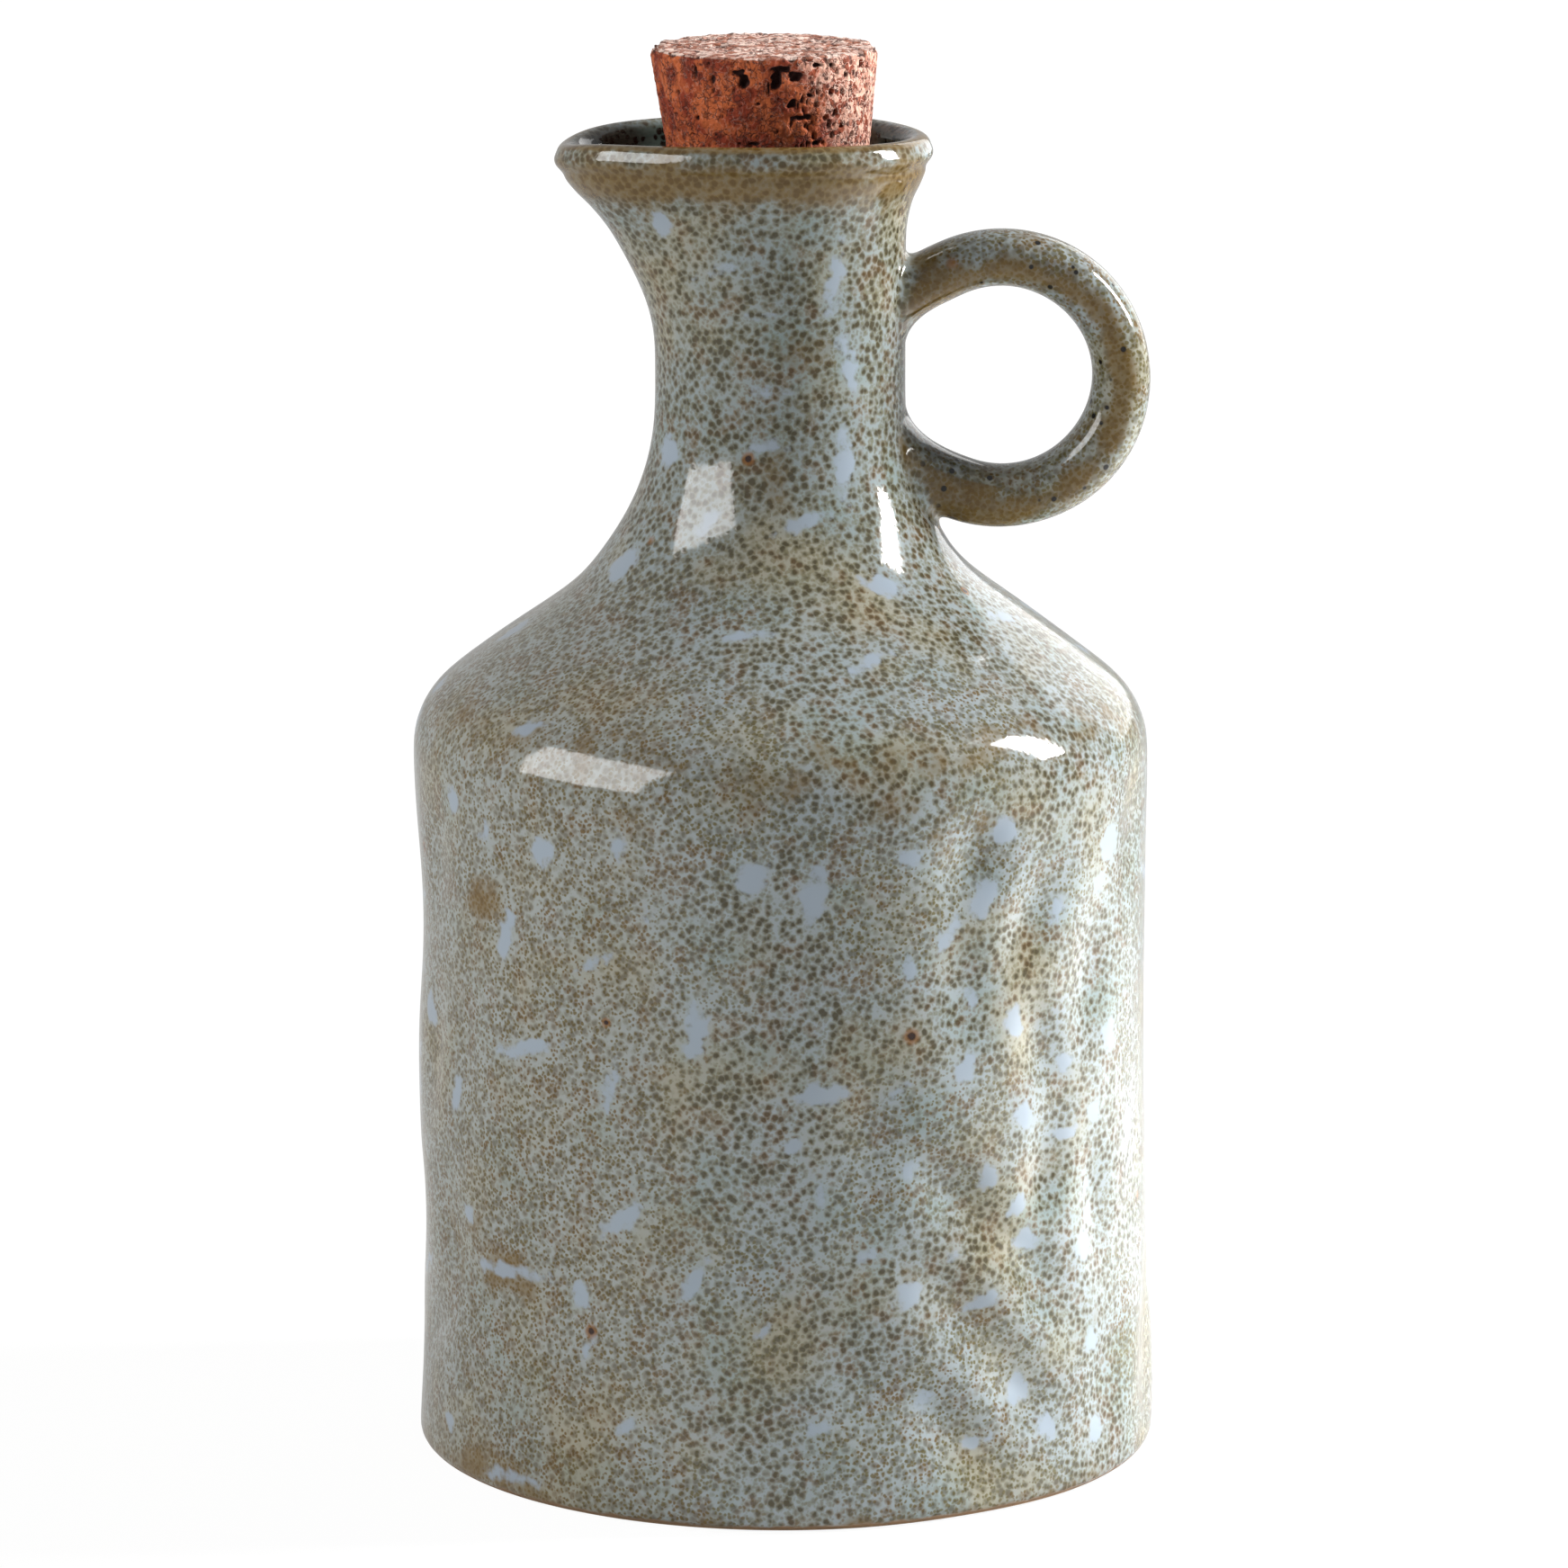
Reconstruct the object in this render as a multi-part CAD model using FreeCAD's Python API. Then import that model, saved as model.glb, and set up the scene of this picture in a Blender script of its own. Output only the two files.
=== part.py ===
"""Stoneware oil bottle: a thrown, softly dented body with a sloping shoulder, a narrow neck, a rolled rim
pulled out into a pouring lip, a finger ring joined to the neck, and a tapered cork stopper.

Frame: +Z up, origin at the centre of the flat base, pouring lip towards -X, finger ring towards +X.
All sizes are millimetres and all angles degrees.
"""

import FreeCAD
import Part
import math
import os

# ---------------------------------------------------------------- driving dimensions
# Body
BODY_RADIUS = 49.2            # outside of the wall half way up
FOOT_SPREAD = 0.9             # the wall stands out this much more just above the base
SHOULDER_SPREAD = 0.3         # and this much more where the shoulder starts to turn in
FOOT_EDGE = 1.8               # rounding between the base and the wall
FOOT_TALL = 30.0              # height over which the wall spreads to the foot
SHOULDER_TALL = 30.0          # height over which it spreads to the shoulder
WALL_TOP = 95.6               # height at which the shoulder starts to turn in
SHOULDER_CORNER = 12.0        # radius of the shoulder's turn
SHOULDER_PITCH = 37.5         # slope of the shoulder above the horizontal
SHOULDER_SWEEP = 32.0         # radius of the hollow curve from shoulder to neck

# Neck and rim
BORE_RADIUS = 11.6            # inside of the neck, at the foot of the stopper's seat
NECK_WALL = 5.1               # from there to the outside of the neck
NECK_TALL = 36.2              # from the foot of the upright neck to the top of the rolled rim
RIM_STAND_OUT = 3.7           # the rolled rim stands out this much past the neck
RIM_BEAD = 2.1                # radius of the roll
FLARE_RADIUS = 20.0           # radius of the hollow curve that carries the neck out to the rim
RIM_SWAY = 0.5                # the rim is this much lower at +X and -X than at +Y and -Y

# Pouring lip
LIP_REACH = 9.8               # how far the lip stands out past the round rim
LIP_SPREAD = 44.0             # angle from the lip's middle at which the pull has faded to a third
LIP_DEPTH = 26.0              # how far below the rim the outside starts to swell towards the lip
LIP_CHANNEL = 11.5            # the same inside, where the channel starts above the stopper's seat
LIP_DROOP = 1.2               # the tip hangs this much below the rest of the rim
DROOP_SPREAD = 17.0
DROOP_DEPTH = 12.0            # height over which droop and sway fade into the neck

# Finger ring
RING_RADIUS = 16.05           # centre line of the ring
RING_LIFT = 3.1               # ring's centre above the foot of the upright neck
RING_STAND_OFF = 12.75        # ring's centre outside the neck
RING_THICK = 7.4              # section measured in the ring's plane, at its top
RING_HEAVY = 8.4              # the same where the ring runs into its lower root
RING_WIDE = 9.6               # section measured across it
UPPER_ROOT_DROP = 4.05        # the upper root leaves the neck this far below the ring's highest point
UPPER_ROOT_RISE = 16.0        # slope at which it leaves the neck, above the horizontal
UPPER_ROOT_TALL = 11.0        # height of the root's section at the neck
LOWER_ROOT_RAISE = 0.45       # the lower root leaves it this far above the ring's lowest point
LOWER_ROOT_RISE = 0.0         # slope at which it leaves, above the horizontal
LOWER_ROOT_TALL = 17.0
ROOT_WIDE = 13.0
ROOT_BURY = 2.4               # how far each root is worked into the wall
ROOT_LEAD = 4.0               # length over which a root swells before it meets the wall

# Cork stopper
STOPPER_PROUD = 11.3          # height of the stopper's level top above the rim
STOPPER_TAPER = 7.3           # half angle of the taper
STOPPER_DEPTH = 18.7          # how far the stopper reaches below the rim
STOPPER_SEAT = 7.0            # length of the neck's tapered seat, from the stopper's small end
STOPPER_CLEARANCE = 0.15      # between stopper and seat
SEAT_RELIEF = 1.5             # the socket is this much deeper than the stopper
STOPPER_LEAN = 2.4            # the stopper and its seat lean towards the pouring lip
STOPPER_SHIFT = -1.0          # place of the seat's middle along X
STOPPER_EDGE = 0.9            # worn edge

# Hand-made unevenness of the body: angle, height, depth, half width across, half height
DENTS = (
    (186.0, 75.0, 1.0, 17.0, 12.0),
    (180.0, 116.0, 1.2, 42.0, 4.5),
    (4.0, 121.0, 0.9, 30.0, 4.5),
    (-78.0, 84.0, 0.7, 14.0, 13.0),
    (-52.0, 90.0, 0.7, 11.0, 8.0),
    (-76.0, 30.0, 0.7, 13.0, 22.0),
    (-46.0, 52.0, 0.6, 12.0, 12.0),
    (-60.0, 9.0, 0.9, 13.0, 15.0),
    (-122.0, 52.0, 0.5, 18.0, 18.0),
    (60.0, 62.0, 0.9, 17.0, 20.0),
    (112.0, 34.0, 0.8, 15.0, 18.0),
    (128.0, 82.0, 0.7, 14.0, 13.0),
)
WALL_SHIFT = 1.2              # low down the wall stands this much towards +X of the neck's axis
SHIFT_TALL = 63.0             # height at which that has faded
BASE_SHIFT = 0.7              # place along X of the flat base

# Fineness of the control nets
TURN_POINTS = 48
RING_POINTS = 24
ARC_STEP = 15.0               # degrees between rows on a tight curve


# ---------------------------------------------------------------- small helpers
def smooth(value):
    """0 below 0, 1 above 1, and an even S between."""
    value = min(1.0, max(0.0, value))
    return value * value * (3.0 - 2.0 * value)


def fade(angle, centre, spread):
    """Bell of height 1 round an angle, with angles taken the short way round."""
    gap = (angle - centre + 180.0) % 360.0 - 180.0
    return math.exp(-((gap / spread) ** 2))


def arc(centre_r, centre_z, radius, start, end, step=ARC_STEP):
    """Points (r, z) along an arc between two angles, ends included."""
    count = max(2, int(math.ceil(abs(end - start) / step)))
    turns = [math.radians(start + (end - start) * i / count) for i in range(count + 1)]
    return [(centre_r + radius * math.cos(t), centre_z + radius * math.sin(t)) for t in turns]


def line(start, end, count):
    """Points strictly between two points (r, z)."""
    shares = [i / (count + 1.0) for i in range(1, count + 1)]
    return [
        (start[0] + (end[0] - start[0]) * s, start[1] + (end[1] - start[1]) * s)
        for s in shares
    ]


def net_surface(rows):
    """Cubic surface over rows of control points: closed round each row, clamped at the first and last."""
    around, along = len(rows[0]), len(rows)
    poles = [[rows[j][i] for j in range(along)] for i in range(around)]
    surface = Part.BSplineSurface()
    surface.buildFromPolesMultsKnots(
        poles,
        [1] * (around + 1),
        [4] + [1] * (along - 4) + [4],
        [float(i) for i in range(around + 1)],
        [float(i) for i in range(along - 2)],
        True,
        False,
        3,
        3,
    )
    return surface


def capped_solid(rows):
    """Solid inside net_surface(rows), whose first and last rows are flat and get a flat face each."""
    skin = net_surface(rows).toShape()
    ends = []
    for edge in skin.Edges:
        if edge.isClosed() and not edge.isSeam(skin.Faces[0]):
            ends.append(Part.Face(Part.Wire([edge])))
    shell = Part.Shell([skin.Faces[0]] + ends)
    shell.sewShape()
    return Part.Solid(shell)


def net_growth(count):
    """A closed cubic through control points on a circle runs inside it; this factor undoes that."""
    return 3.0 / (2.0 + math.cos(2.0 * math.pi / count))


# ---------------------------------------------------------------- the wall's outline
def shoulder_outline():
    """Outline (r, z) from the shoulder's turn up its slope and round the hollow sweep to the neck."""
    pitch = math.radians(SHOULDER_PITCH)
    corner_r = BODY_RADIUS + SHOULDER_SPREAD - SHOULDER_CORNER
    corner = arc(corner_r, WALL_TOP, SHOULDER_CORNER, 0.0, 90.0 - SHOULDER_PITCH)
    turn_r, turn_z = corner[-1]
    sweep_r = neck_radius() + SHOULDER_SWEEP
    join_r = sweep_r - SHOULDER_SWEEP * math.sin(pitch)
    join_z = turn_z + (turn_r - join_r) * math.tan(pitch)
    sweep_z = join_z + SHOULDER_SWEEP * math.cos(pitch)
    sweep = arc(sweep_r, sweep_z, SHOULDER_SWEEP, 270.0 - SHOULDER_PITCH, 180.0, 7.0)
    return corner + line(corner[-1], sweep[0], 4) + sweep


def neck_radius():
    return BORE_RADIUS + NECK_WALL


def neck_foot():
    """Height at which the shoulder's sweep ends and the upright neck starts."""
    return shoulder_outline()[-1][1]


def rim_height():
    """Top of the rolled rim, away from the pouring lip."""
    return neck_foot() + NECK_TALL


def flare_start():
    """Height at which the neck starts to flare towards the rim."""
    tall = math.sqrt(FLARE_RADIUS**2 - (FLARE_RADIUS - flare_rise()) ** 2)
    return rim_height() - 2.2 * RIM_BEAD - tall


def flare_rise():
    """How far the flare carries the outside out, to just under the roll."""
    return RIM_STAND_OUT - 0.4 * RIM_BEAD


def outside_outline():
    """Outline (r, z) of the outside, from the base's edge to just under the rolled rim."""
    foot = arc(BODY_RADIUS + FOOT_SPREAD - FOOT_EDGE, FOOT_EDGE, FOOT_EDGE, -90.0, 0.0, 22.5)
    wall = []
    for _, z in line(foot[-1], (0.0, WALL_TOP), 11):
        low = FOOT_SPREAD * (1.0 - smooth((z - FOOT_EDGE) / FOOT_TALL))
        high = SHOULDER_SPREAD * smooth(1.0 - (WALL_TOP - z) / SHOULDER_TALL)
        wall.append((BODY_RADIUS + low + high, z))
    shoulder = shoulder_outline()
    top = shoulder[-1]
    start = flare_start()
    sweep = math.degrees(math.acos((FLARE_RADIUS - flare_rise()) / FLARE_RADIUS))
    flare = arc(neck_radius() + FLARE_RADIUS, start, FLARE_RADIUS, 180.0, 180.0 - sweep, 6.0)
    return (
        foot
        + wall
        + shoulder
        + line(top, flare[0], 4)
        + flare
    )


def radius_outside(height):
    """Outside radius of the round outline at a height between foot and rim."""
    outline = outside_outline()
    for (r0, z0), (r1, z1) in zip(outline, outline[1:]):
        if z0 <= height <= z1 and z1 > z0:
            return r0 + (r1 - r0) * (height - z0) / (z1 - z0)
    raise ValueError("height %.1f is off the wall" % height)


# ---------------------------------------------------------------- bottle
def body_shift(height):
    """The wall stands off the neck's axis towards its foot, and overhangs the base on the ring's side."""
    low = WALL_SHIFT * (1.0 - smooth(height / SHIFT_TALL))
    return low + (BASE_SHIFT - WALL_SHIFT) * (1.0 - smooth(height / 6.0))


def dent_depth(angle, height):
    """How far the wall is pressed in by the hand-made dents."""
    return sum(
        depth * fade(angle, at, wide) * math.exp(-(((height - middle) / tall) ** 2))
        for at, middle, depth, wide, tall in DENTS
    )


def seat_radius(height):
    """Inside of the tapered seat, which is the stopper's own taper plus the clearance."""
    return BORE_RADIUS + (height - seat_bottom()) * math.tan(math.radians(STOPPER_TAPER))


def seat_bottom():
    return rim_height() - STOPPER_DEPTH


def seat_shift(height):
    """Place along X of the leaning seat's axis."""
    above_middle = height - seat_bottom() - STOPPER_SEAT / 2.0
    return STOPPER_SHIFT - math.tan(math.radians(STOPPER_LEAN)) * above_middle


def wall_row(radius, height, lip, droop, dents, shift):
    """One row of control points round the bottle.

    lip and droop are the shares of the pouring lip's pull and of the rim's sway that reach this row.
    """
    row = []
    grown = net_growth(TURN_POINTS)
    for i in range(TURN_POINTS):
        angle = 360.0 * i / TURN_POINTS
        turn = math.radians(angle)
        r = radius + LIP_REACH * lip * fade(angle, 180.0, LIP_SPREAD)
        if dents:
            r -= dent_depth(angle, height)
        r *= grown
        sag = RIM_SWAY * math.cos(turn) ** 2 + LIP_DROOP * fade(angle, 180.0, DROOP_SPREAD)
        row.append(
            FreeCAD.Vector(shift + r * math.cos(turn), r * math.sin(turn), height - droop * sag)
        )
    return row


def bottle_rows():
    """Rows of control points: up the outside, over the rolled rim, and down into the stopper's socket.

    The vessel is solid below the socket.
    """
    bead_r = neck_radius() + RIM_STAND_OUT - RIM_BEAD
    bead_z = rim_height() - RIM_BEAD
    droop_from = bead_z - DROOP_DEPTH
    rows = []

    def droop(height):
        return smooth((height - droop_from) / DROOP_DEPTH)

    for r, z in outside_outline():
        lip = smooth((z - (bead_z - LIP_DEPTH)) / LIP_DEPTH)
        rows.append(wall_row(r, z, lip, droop(z), True, body_shift(z)))
    for r, z in arc(bead_r, bead_z, RIM_BEAD, -40.0, 200.0, 24.0):
        rows.append(wall_row(r, z, 1.0, 1.0, False, 0.0))

    # Funnel from the roll down to the seat, its foot as wide as the seat's top.
    seat_top = seat_bottom() + STOPPER_SEAT
    funnel_top = (bead_r - RIM_BEAD, bead_z - 1.5 * RIM_BEAD)
    funnel = [funnel_top] + line(funnel_top, (seat_radius(seat_top), seat_top), 2)
    for r, z in funnel:
        lip = smooth((z - (bead_z - LIP_CHANNEL)) / LIP_CHANNEL)
        rows.append(wall_row(r, z, lip, droop(z), False, seat_shift(seat_top)))
    for i in range(5):
        z = seat_top - STOPPER_SEAT * i / 4.0
        lip = smooth((z - (bead_z - LIP_CHANNEL)) / LIP_CHANNEL)
        rows.append(wall_row(seat_radius(z), z, lip, 0.0, False, seat_shift(z)))

    for i in range(1, 4):
        z = seat_bottom() - SEAT_RELIEF * i / 3.0
        rows.append(wall_row(BORE_RADIUS, z, 0.0, 0.0, False, seat_shift(seat_bottom())))
    return rows


# ---------------------------------------------------------------- finger ring
def ring_stations():
    """Stations along the ring: centre (x, z), tall size of the section, and share of the root's width."""
    centre_x = neck_radius() + RING_STAND_OFF
    centre_z = neck_foot() + RING_LIFT
    upper_z = centre_z + RING_RADIUS - UPPER_ROOT_DROP
    lower_z = centre_z - RING_RADIUS + LOWER_ROOT_RAISE
    stations = []

    def root(height, rise, tall, thick):
        """From inside the wall outwards, swelling from the ring's own section to the root's."""
        across, up = math.cos(math.radians(rise)), math.sin(math.radians(rise))
        wall_x = radius_outside(height) + body_shift(height)
        places = ((-ROOT_BURY, 1.1), (-ROOT_BURY / 2.0, 1.05), (0.0, 0.8), (ROOT_LEAD, 0.2))
        return [
            ((wall_x + d * across, height + d * up), thick + (tall - thick) * share, share)
            for d, share in places
        ]

    stations += root(upper_z, UPPER_ROOT_RISE, UPPER_ROOT_TALL, RING_THICK)
    first, last, count = 115.0, -112.0, 15
    for i in range(count + 1):
        turn = math.radians(first + (last - first) * i / count)
        place = (centre_x + RING_RADIUS * math.cos(turn), centre_z + RING_RADIUS * math.sin(turn))
        thick = RING_THICK + (RING_HEAVY - RING_THICK) * smooth(i / float(count))
        stations.append((place, thick, 0.0))
    stations += root(lower_z, LOWER_ROOT_RISE, LOWER_ROOT_TALL, RING_HEAVY)[::-1]
    return stations


def ring_rows():
    """Rows of control points round the ring's section, which is a rounded strap, at each station."""
    stations = ring_stations()
    grown = net_growth(RING_POINTS)
    squareness = 0.86
    rows = []
    for i, (place, tall, share) in enumerate(stations):
        before = stations[max(0, i - 1)][0]
        after = stations[min(len(stations) - 1, i + 1)][0]
        run_x, run_z = after[0] - before[0], after[1] - before[1]
        length = math.hypot(run_x, run_z)
        out_x, out_z = -run_z / length, run_x / length
        half_tall = grown * tall / 2.0
        half_wide = grown * (RING_WIDE + (ROOT_WIDE - RING_WIDE) * share) / 2.0
        row = []
        for k in range(RING_POINTS):
            turn = 2.0 * math.pi * k / RING_POINTS
            up = math.copysign(abs(math.sin(turn)) ** squareness, math.sin(turn)) * half_tall
            side = math.copysign(abs(math.cos(turn)) ** squareness, math.cos(turn)) * half_wide
            row.append(FreeCAD.Vector(place[0] + out_x * up, side, place[1] + out_z * up))
        rows.append(row)
    return rows


def make_bottle():
    """Body, neck, lip and ring are one fired piece."""
    body = capped_solid(bottle_rows())
    ring = capped_solid(ring_rows())
    return body.fuse(ring)


# ---------------------------------------------------------------- stopper
def make_stopper():
    """Tapered cork with worn edges, standing in the leaning seat, its top cut level."""
    small = BORE_RADIUS - STOPPER_CLEARANCE
    top = rim_height() + STOPPER_PROUD
    long = top - seat_bottom() + 5.0
    cork = Part.makeCone(small, small + long * math.tan(math.radians(STOPPER_TAPER)), long)
    middle = FreeCAD.Vector(0.0, 0.0, STOPPER_SEAT / 2.0)
    cork.rotate(middle, FreeCAD.Vector(0.0, 1.0, 0.0), -STOPPER_LEAN)
    cork.translate(FreeCAD.Vector(STOPPER_SHIFT, 0.0, seat_bottom()))
    waste = Part.makeBox(80.0, 80.0, 20.0, FreeCAD.Vector(-40.0, -40.0, top))
    cork = cork.cut(waste)
    rims = [e for e in cork.Edges if e.isClosed()]
    return cork.makeFillet(STOPPER_EDGE, rims)


def main():
    os.makedirs("parts", exist_ok=True)
    for name, shape in (("bottle", make_bottle()), ("stopper", make_stopper())):
        solids = shape.Solids
        box = shape.BoundBox
        print(
            "%-8s solids %d  valid %s  volume %.1f cm3  x %.1f..%.1f  y %.1f..%.1f  z %.1f..%.1f"
            % (name, len(solids), shape.isValid(), shape.Volume / 1000.0,
               box.XMin, box.XMax, box.YMin, box.YMax, box.ZMin, box.ZMax)
        )
        Part.Compound(solids).exportStep("parts/%s.step" % name)


main()
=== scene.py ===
# %% [markdown]
# # A corked stoneware oil bottle
# The object is a hand-thrown oil bottle: a soft cylinder with a sloping shoulder, a narrow neck, a rim pulled
# out into a pouring lip, a finger ring on the neck, and a tapered cork. Two things make it what it is: a form
# that is nearly round but never quite, and a reactive glaze that breaks into thousands of brown dots.
# The engineering model gives the places and sizes. It is loaded first and never moved, and the pieces made here
# stand in for its two solids.

# %% Load the frame
import math
import bpy
import numpy as np
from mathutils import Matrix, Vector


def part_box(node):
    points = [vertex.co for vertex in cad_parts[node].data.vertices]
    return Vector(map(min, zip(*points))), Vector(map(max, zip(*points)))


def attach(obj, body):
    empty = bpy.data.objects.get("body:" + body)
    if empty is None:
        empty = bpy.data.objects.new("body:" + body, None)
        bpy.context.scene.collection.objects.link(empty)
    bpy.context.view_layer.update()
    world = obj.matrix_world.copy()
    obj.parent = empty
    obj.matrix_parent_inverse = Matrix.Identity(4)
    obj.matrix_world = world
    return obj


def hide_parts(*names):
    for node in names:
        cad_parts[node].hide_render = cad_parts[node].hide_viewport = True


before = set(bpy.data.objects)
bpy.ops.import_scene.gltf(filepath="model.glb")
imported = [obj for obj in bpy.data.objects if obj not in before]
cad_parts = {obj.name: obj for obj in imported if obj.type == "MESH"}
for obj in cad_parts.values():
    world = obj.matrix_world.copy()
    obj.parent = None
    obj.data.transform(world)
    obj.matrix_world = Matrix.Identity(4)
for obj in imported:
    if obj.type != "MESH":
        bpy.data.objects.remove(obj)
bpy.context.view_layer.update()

MM = 0.001
solids = {name: [[round(v / MM, 1) for v in corner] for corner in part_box(name)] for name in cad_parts}
print("solids in the frame:", solids)

# %% [markdown]
# ## Surfaces from control nets
# A potter's form is smooth in both directions, so one cubic spline surface describes it well: a net of control
# points, closed round the bottle and clamped at the ends of its profile. Spline weights are a matrix, so the
# whole surface is two matrix products, and the grid can be as fine as the gloss needs.

# %% Small formulas
def smooth(value):
    """0 below 0, 1 above 1 and 3v^2 - 2v^3 between."""
    value = np.clip(value, 0.0, 1.0)
    return value * value * (3.0 - 2.0 * value)


def hump(value, middle, width):
    """exp(-((value - middle) / width)^2)."""
    return np.exp(-(((value - middle) / width) ** 2))


def short_way(angle, centre):
    """The gap between two angles in degrees, taken the short way round."""
    return (angle - centre + 180.0) % 360.0 - 180.0


def bell(angle, centre, spread):
    """A hump round the bottle: exp(-(gap / spread)^2)."""
    return hump(short_way(angle, centre), 0.0, spread)


def polar(points):
    """Angle in degrees and radius of points, seen from above."""
    return np.degrees(np.arctan2(points[..., 1], points[..., 0])), np.hypot(points[..., 0], points[..., 1])


def pressed_in(points, depth):
    """Points moved towards the bottle's axis: x and y are multiplied by 1 - depth / radius."""
    moved = points.copy()
    moved[..., :2] *= (1.0 - depth / polar(points)[1])[..., None]
    return moved


def tilted(around, rise, tilt):
    """A place on the wall, measured along and across a line that leans from upright by the tilt."""
    sin, cos = math.sin(math.radians(tilt)), math.cos(math.radians(tilt))
    return around * sin + rise * cos, around * cos - rise * sin


def scattered(rng, count, limits):
    """Random rows, with a column of evenly spread numbers for each pair of limits."""
    return np.stack([rng.uniform(low, high, count) for low, high in limits], axis=1)


# %% Spline weights
def clamped_weights(count, at):
    """Weights of count control points of a clamped cubic spline at parameters 0 to count - 3: the Cox-de Boor
    recursion, in which each degree blends the two neighbouring weights of the degree below."""
    knots = np.concatenate([np.zeros(3), np.arange(count - 2.0), np.full(3, count - 3.0)])
    at = np.clip(at, 0.0, count - 3.0 - 1e-9)[:, None]
    weight = ((at >= knots[:-1]) & (at < knots[1:])).astype(float)
    for degree in (1, 2, 3):
        first, last = knots[: -degree - 1], knots[degree + 1 :]
        up = np.maximum(knots[degree:-1] - first, 1e-12)
        down = np.maximum(last - knots[1:-degree], 1e-12)
        weight = (at - first) / up * weight[:, :-1] + (last - at) / down * weight[:, 1:]
    return weight


def closed_weights(count, at):
    """Weights of count control points of a closed uniform cubic spline. At a whole number i the curve is at
    (P[i-1] + 4 P[i] + P[i+1]) / 6."""
    cell = np.floor(at).astype(int)
    f = at - cell
    parts = ((1 - f) ** 3, 3 * f**3 - 6 * f**2 + 4, -3 * f**3 + 3 * f**2 + 3 * f + 1, f**3)
    weight = np.zeros((len(at), count))
    for step, part in enumerate(parts):
        np.add.at(weight, (np.arange(len(at)), (cell + step - 1) % count), part / 6.0)
    return weight


# %% A grid becomes a mesh
def make_piece(name, grid, fields, closed=True):
    """Mesh from a grid of points in millimetres, open along its rows and closed round each row. With rows going
    up the outside and angles going round to the left, the quads point outwards. A closed piece gets a fan of
    triangles at both ends, from the row's middle to its pairs of neighbours. Fields are numbers kept at each
    point, for the materials to read, and the middles take 0."""
    rows, around = grid.shape[:2]
    j, i = np.meshgrid(np.arange(rows - 1), np.arange(around), indexing="ij")
    k = (i + 1) % around
    quads = np.stack([j * around + i, j * around + k, (j + 1) * around + k, (j + 1) * around + i], axis=-1)
    points, fans = grid.reshape(-1, 3), []
    if closed:
        for row, ring in ((0, np.arange(around)[::-1]), (-1, (rows - 1) * around + np.arange(around))):
            fans.append(np.stack([np.full(around, len(points)), ring, np.roll(ring, -1)], axis=1))
            points = np.vstack([points, grid[row].mean(axis=0)])
    corners = np.concatenate([quads.ravel()] + [fan.ravel() for fan in fans])
    sizes = np.repeat([4, 3], [quads.size // 4, len(fans) * around])
    mesh = bpy.data.meshes.new(name)
    mesh.vertices.add(len(points))
    mesh.vertices.foreach_set("co", (points * MM).astype(np.float32).ravel())
    mesh.loops.add(len(corners))
    mesh.loops.foreach_set("vertex_index", corners.astype(np.int32))
    mesh.polygons.add(len(sizes))
    mesh.polygons.foreach_set("loop_start", np.concatenate([[0], np.cumsum(sizes)[:-1]]).astype(np.int32))
    mesh.polygons.foreach_set("loop_total", sizes.astype(np.int32))
    mesh.polygons.foreach_set("use_smooth", np.ones(len(sizes), bool))
    mesh.update(calc_edges=True)
    for field, values in fields.items():
        kept = np.zeros(len(points), np.float32)
        kept[: values.size] = values.ravel()
        mesh.attributes.new(field, "FLOAT", "POINT").data.foreach_set("value", kept)
    piece = bpy.data.objects.new(name, mesh)
    bpy.context.scene.collection.objects.link(piece)
    print(f"{name}: {len(points)} points, {int((sizes - 2).sum())} triangles")
    return piece


# %% [markdown]
# ## The thrown form
# The outline is a short list of straight runs and arcs, as a potter's template would be: the foot's edge, the
# nearly upright wall, the shoulder's turn, its slope, the hollow sweep into the neck, the flare, the rolled rim,
# and inside it the funnel down to the cork's seat. The angle round the bottle then adds what the hands did:
# the pulled lip, the rim's sway, and shallow dents.

# %% Sizes of the bottle, in millimetres and degrees
BODY_RADIUS, FOOT_SPREAD, SHOULDER_SPREAD = 49.2, 0.9, 0.3
FOOT_EDGE, FOOT_TALL, SHOULDER_TALL = 1.8, 30.0, 30.0
WALL_TOP, SHOULDER_CORNER, SHOULDER_PITCH, SHOULDER_SWEEP = 95.6, 12.0, 37.5, 32.0
BORE_RADIUS, NECK_WALL, NECK_TALL = 11.6, 5.1, 36.2
RIM_STAND_OUT, RIM_BEAD, FLARE_RADIUS, RIM_SWAY = 3.7, 2.1, 20.0, 0.5
ROLL_START, ROLL_END = -40.0, 200.0
LIP_REACH, LIP_SPREAD, LIP_DEPTH, LIP_CHANNEL = 9.8, 44.0, 26.0, 11.5
LIP_ANGLE, LIP_DROOP, DROOP_SPREAD, DROOP_DEPTH = 180.0, 1.2, 17.0, 12.0
WALL_SHIFT, SHIFT_TALL, BASE_SHIFT, BASE_TALL = 1.2, 63.0, 0.7, 6.0
CORK_TAPER, CORK_DEPTH, CORK_SEAT, CORK_LEAN, CORK_SHIFT, CORK_PROUD = 7.3, 18.7, 7.0, 2.4, -1.0, 11.3
SEAT_RELIEF = 1.5
NET_AROUND = 48
NECK_RADIUS = BORE_RADIUS + NECK_WALL

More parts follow.
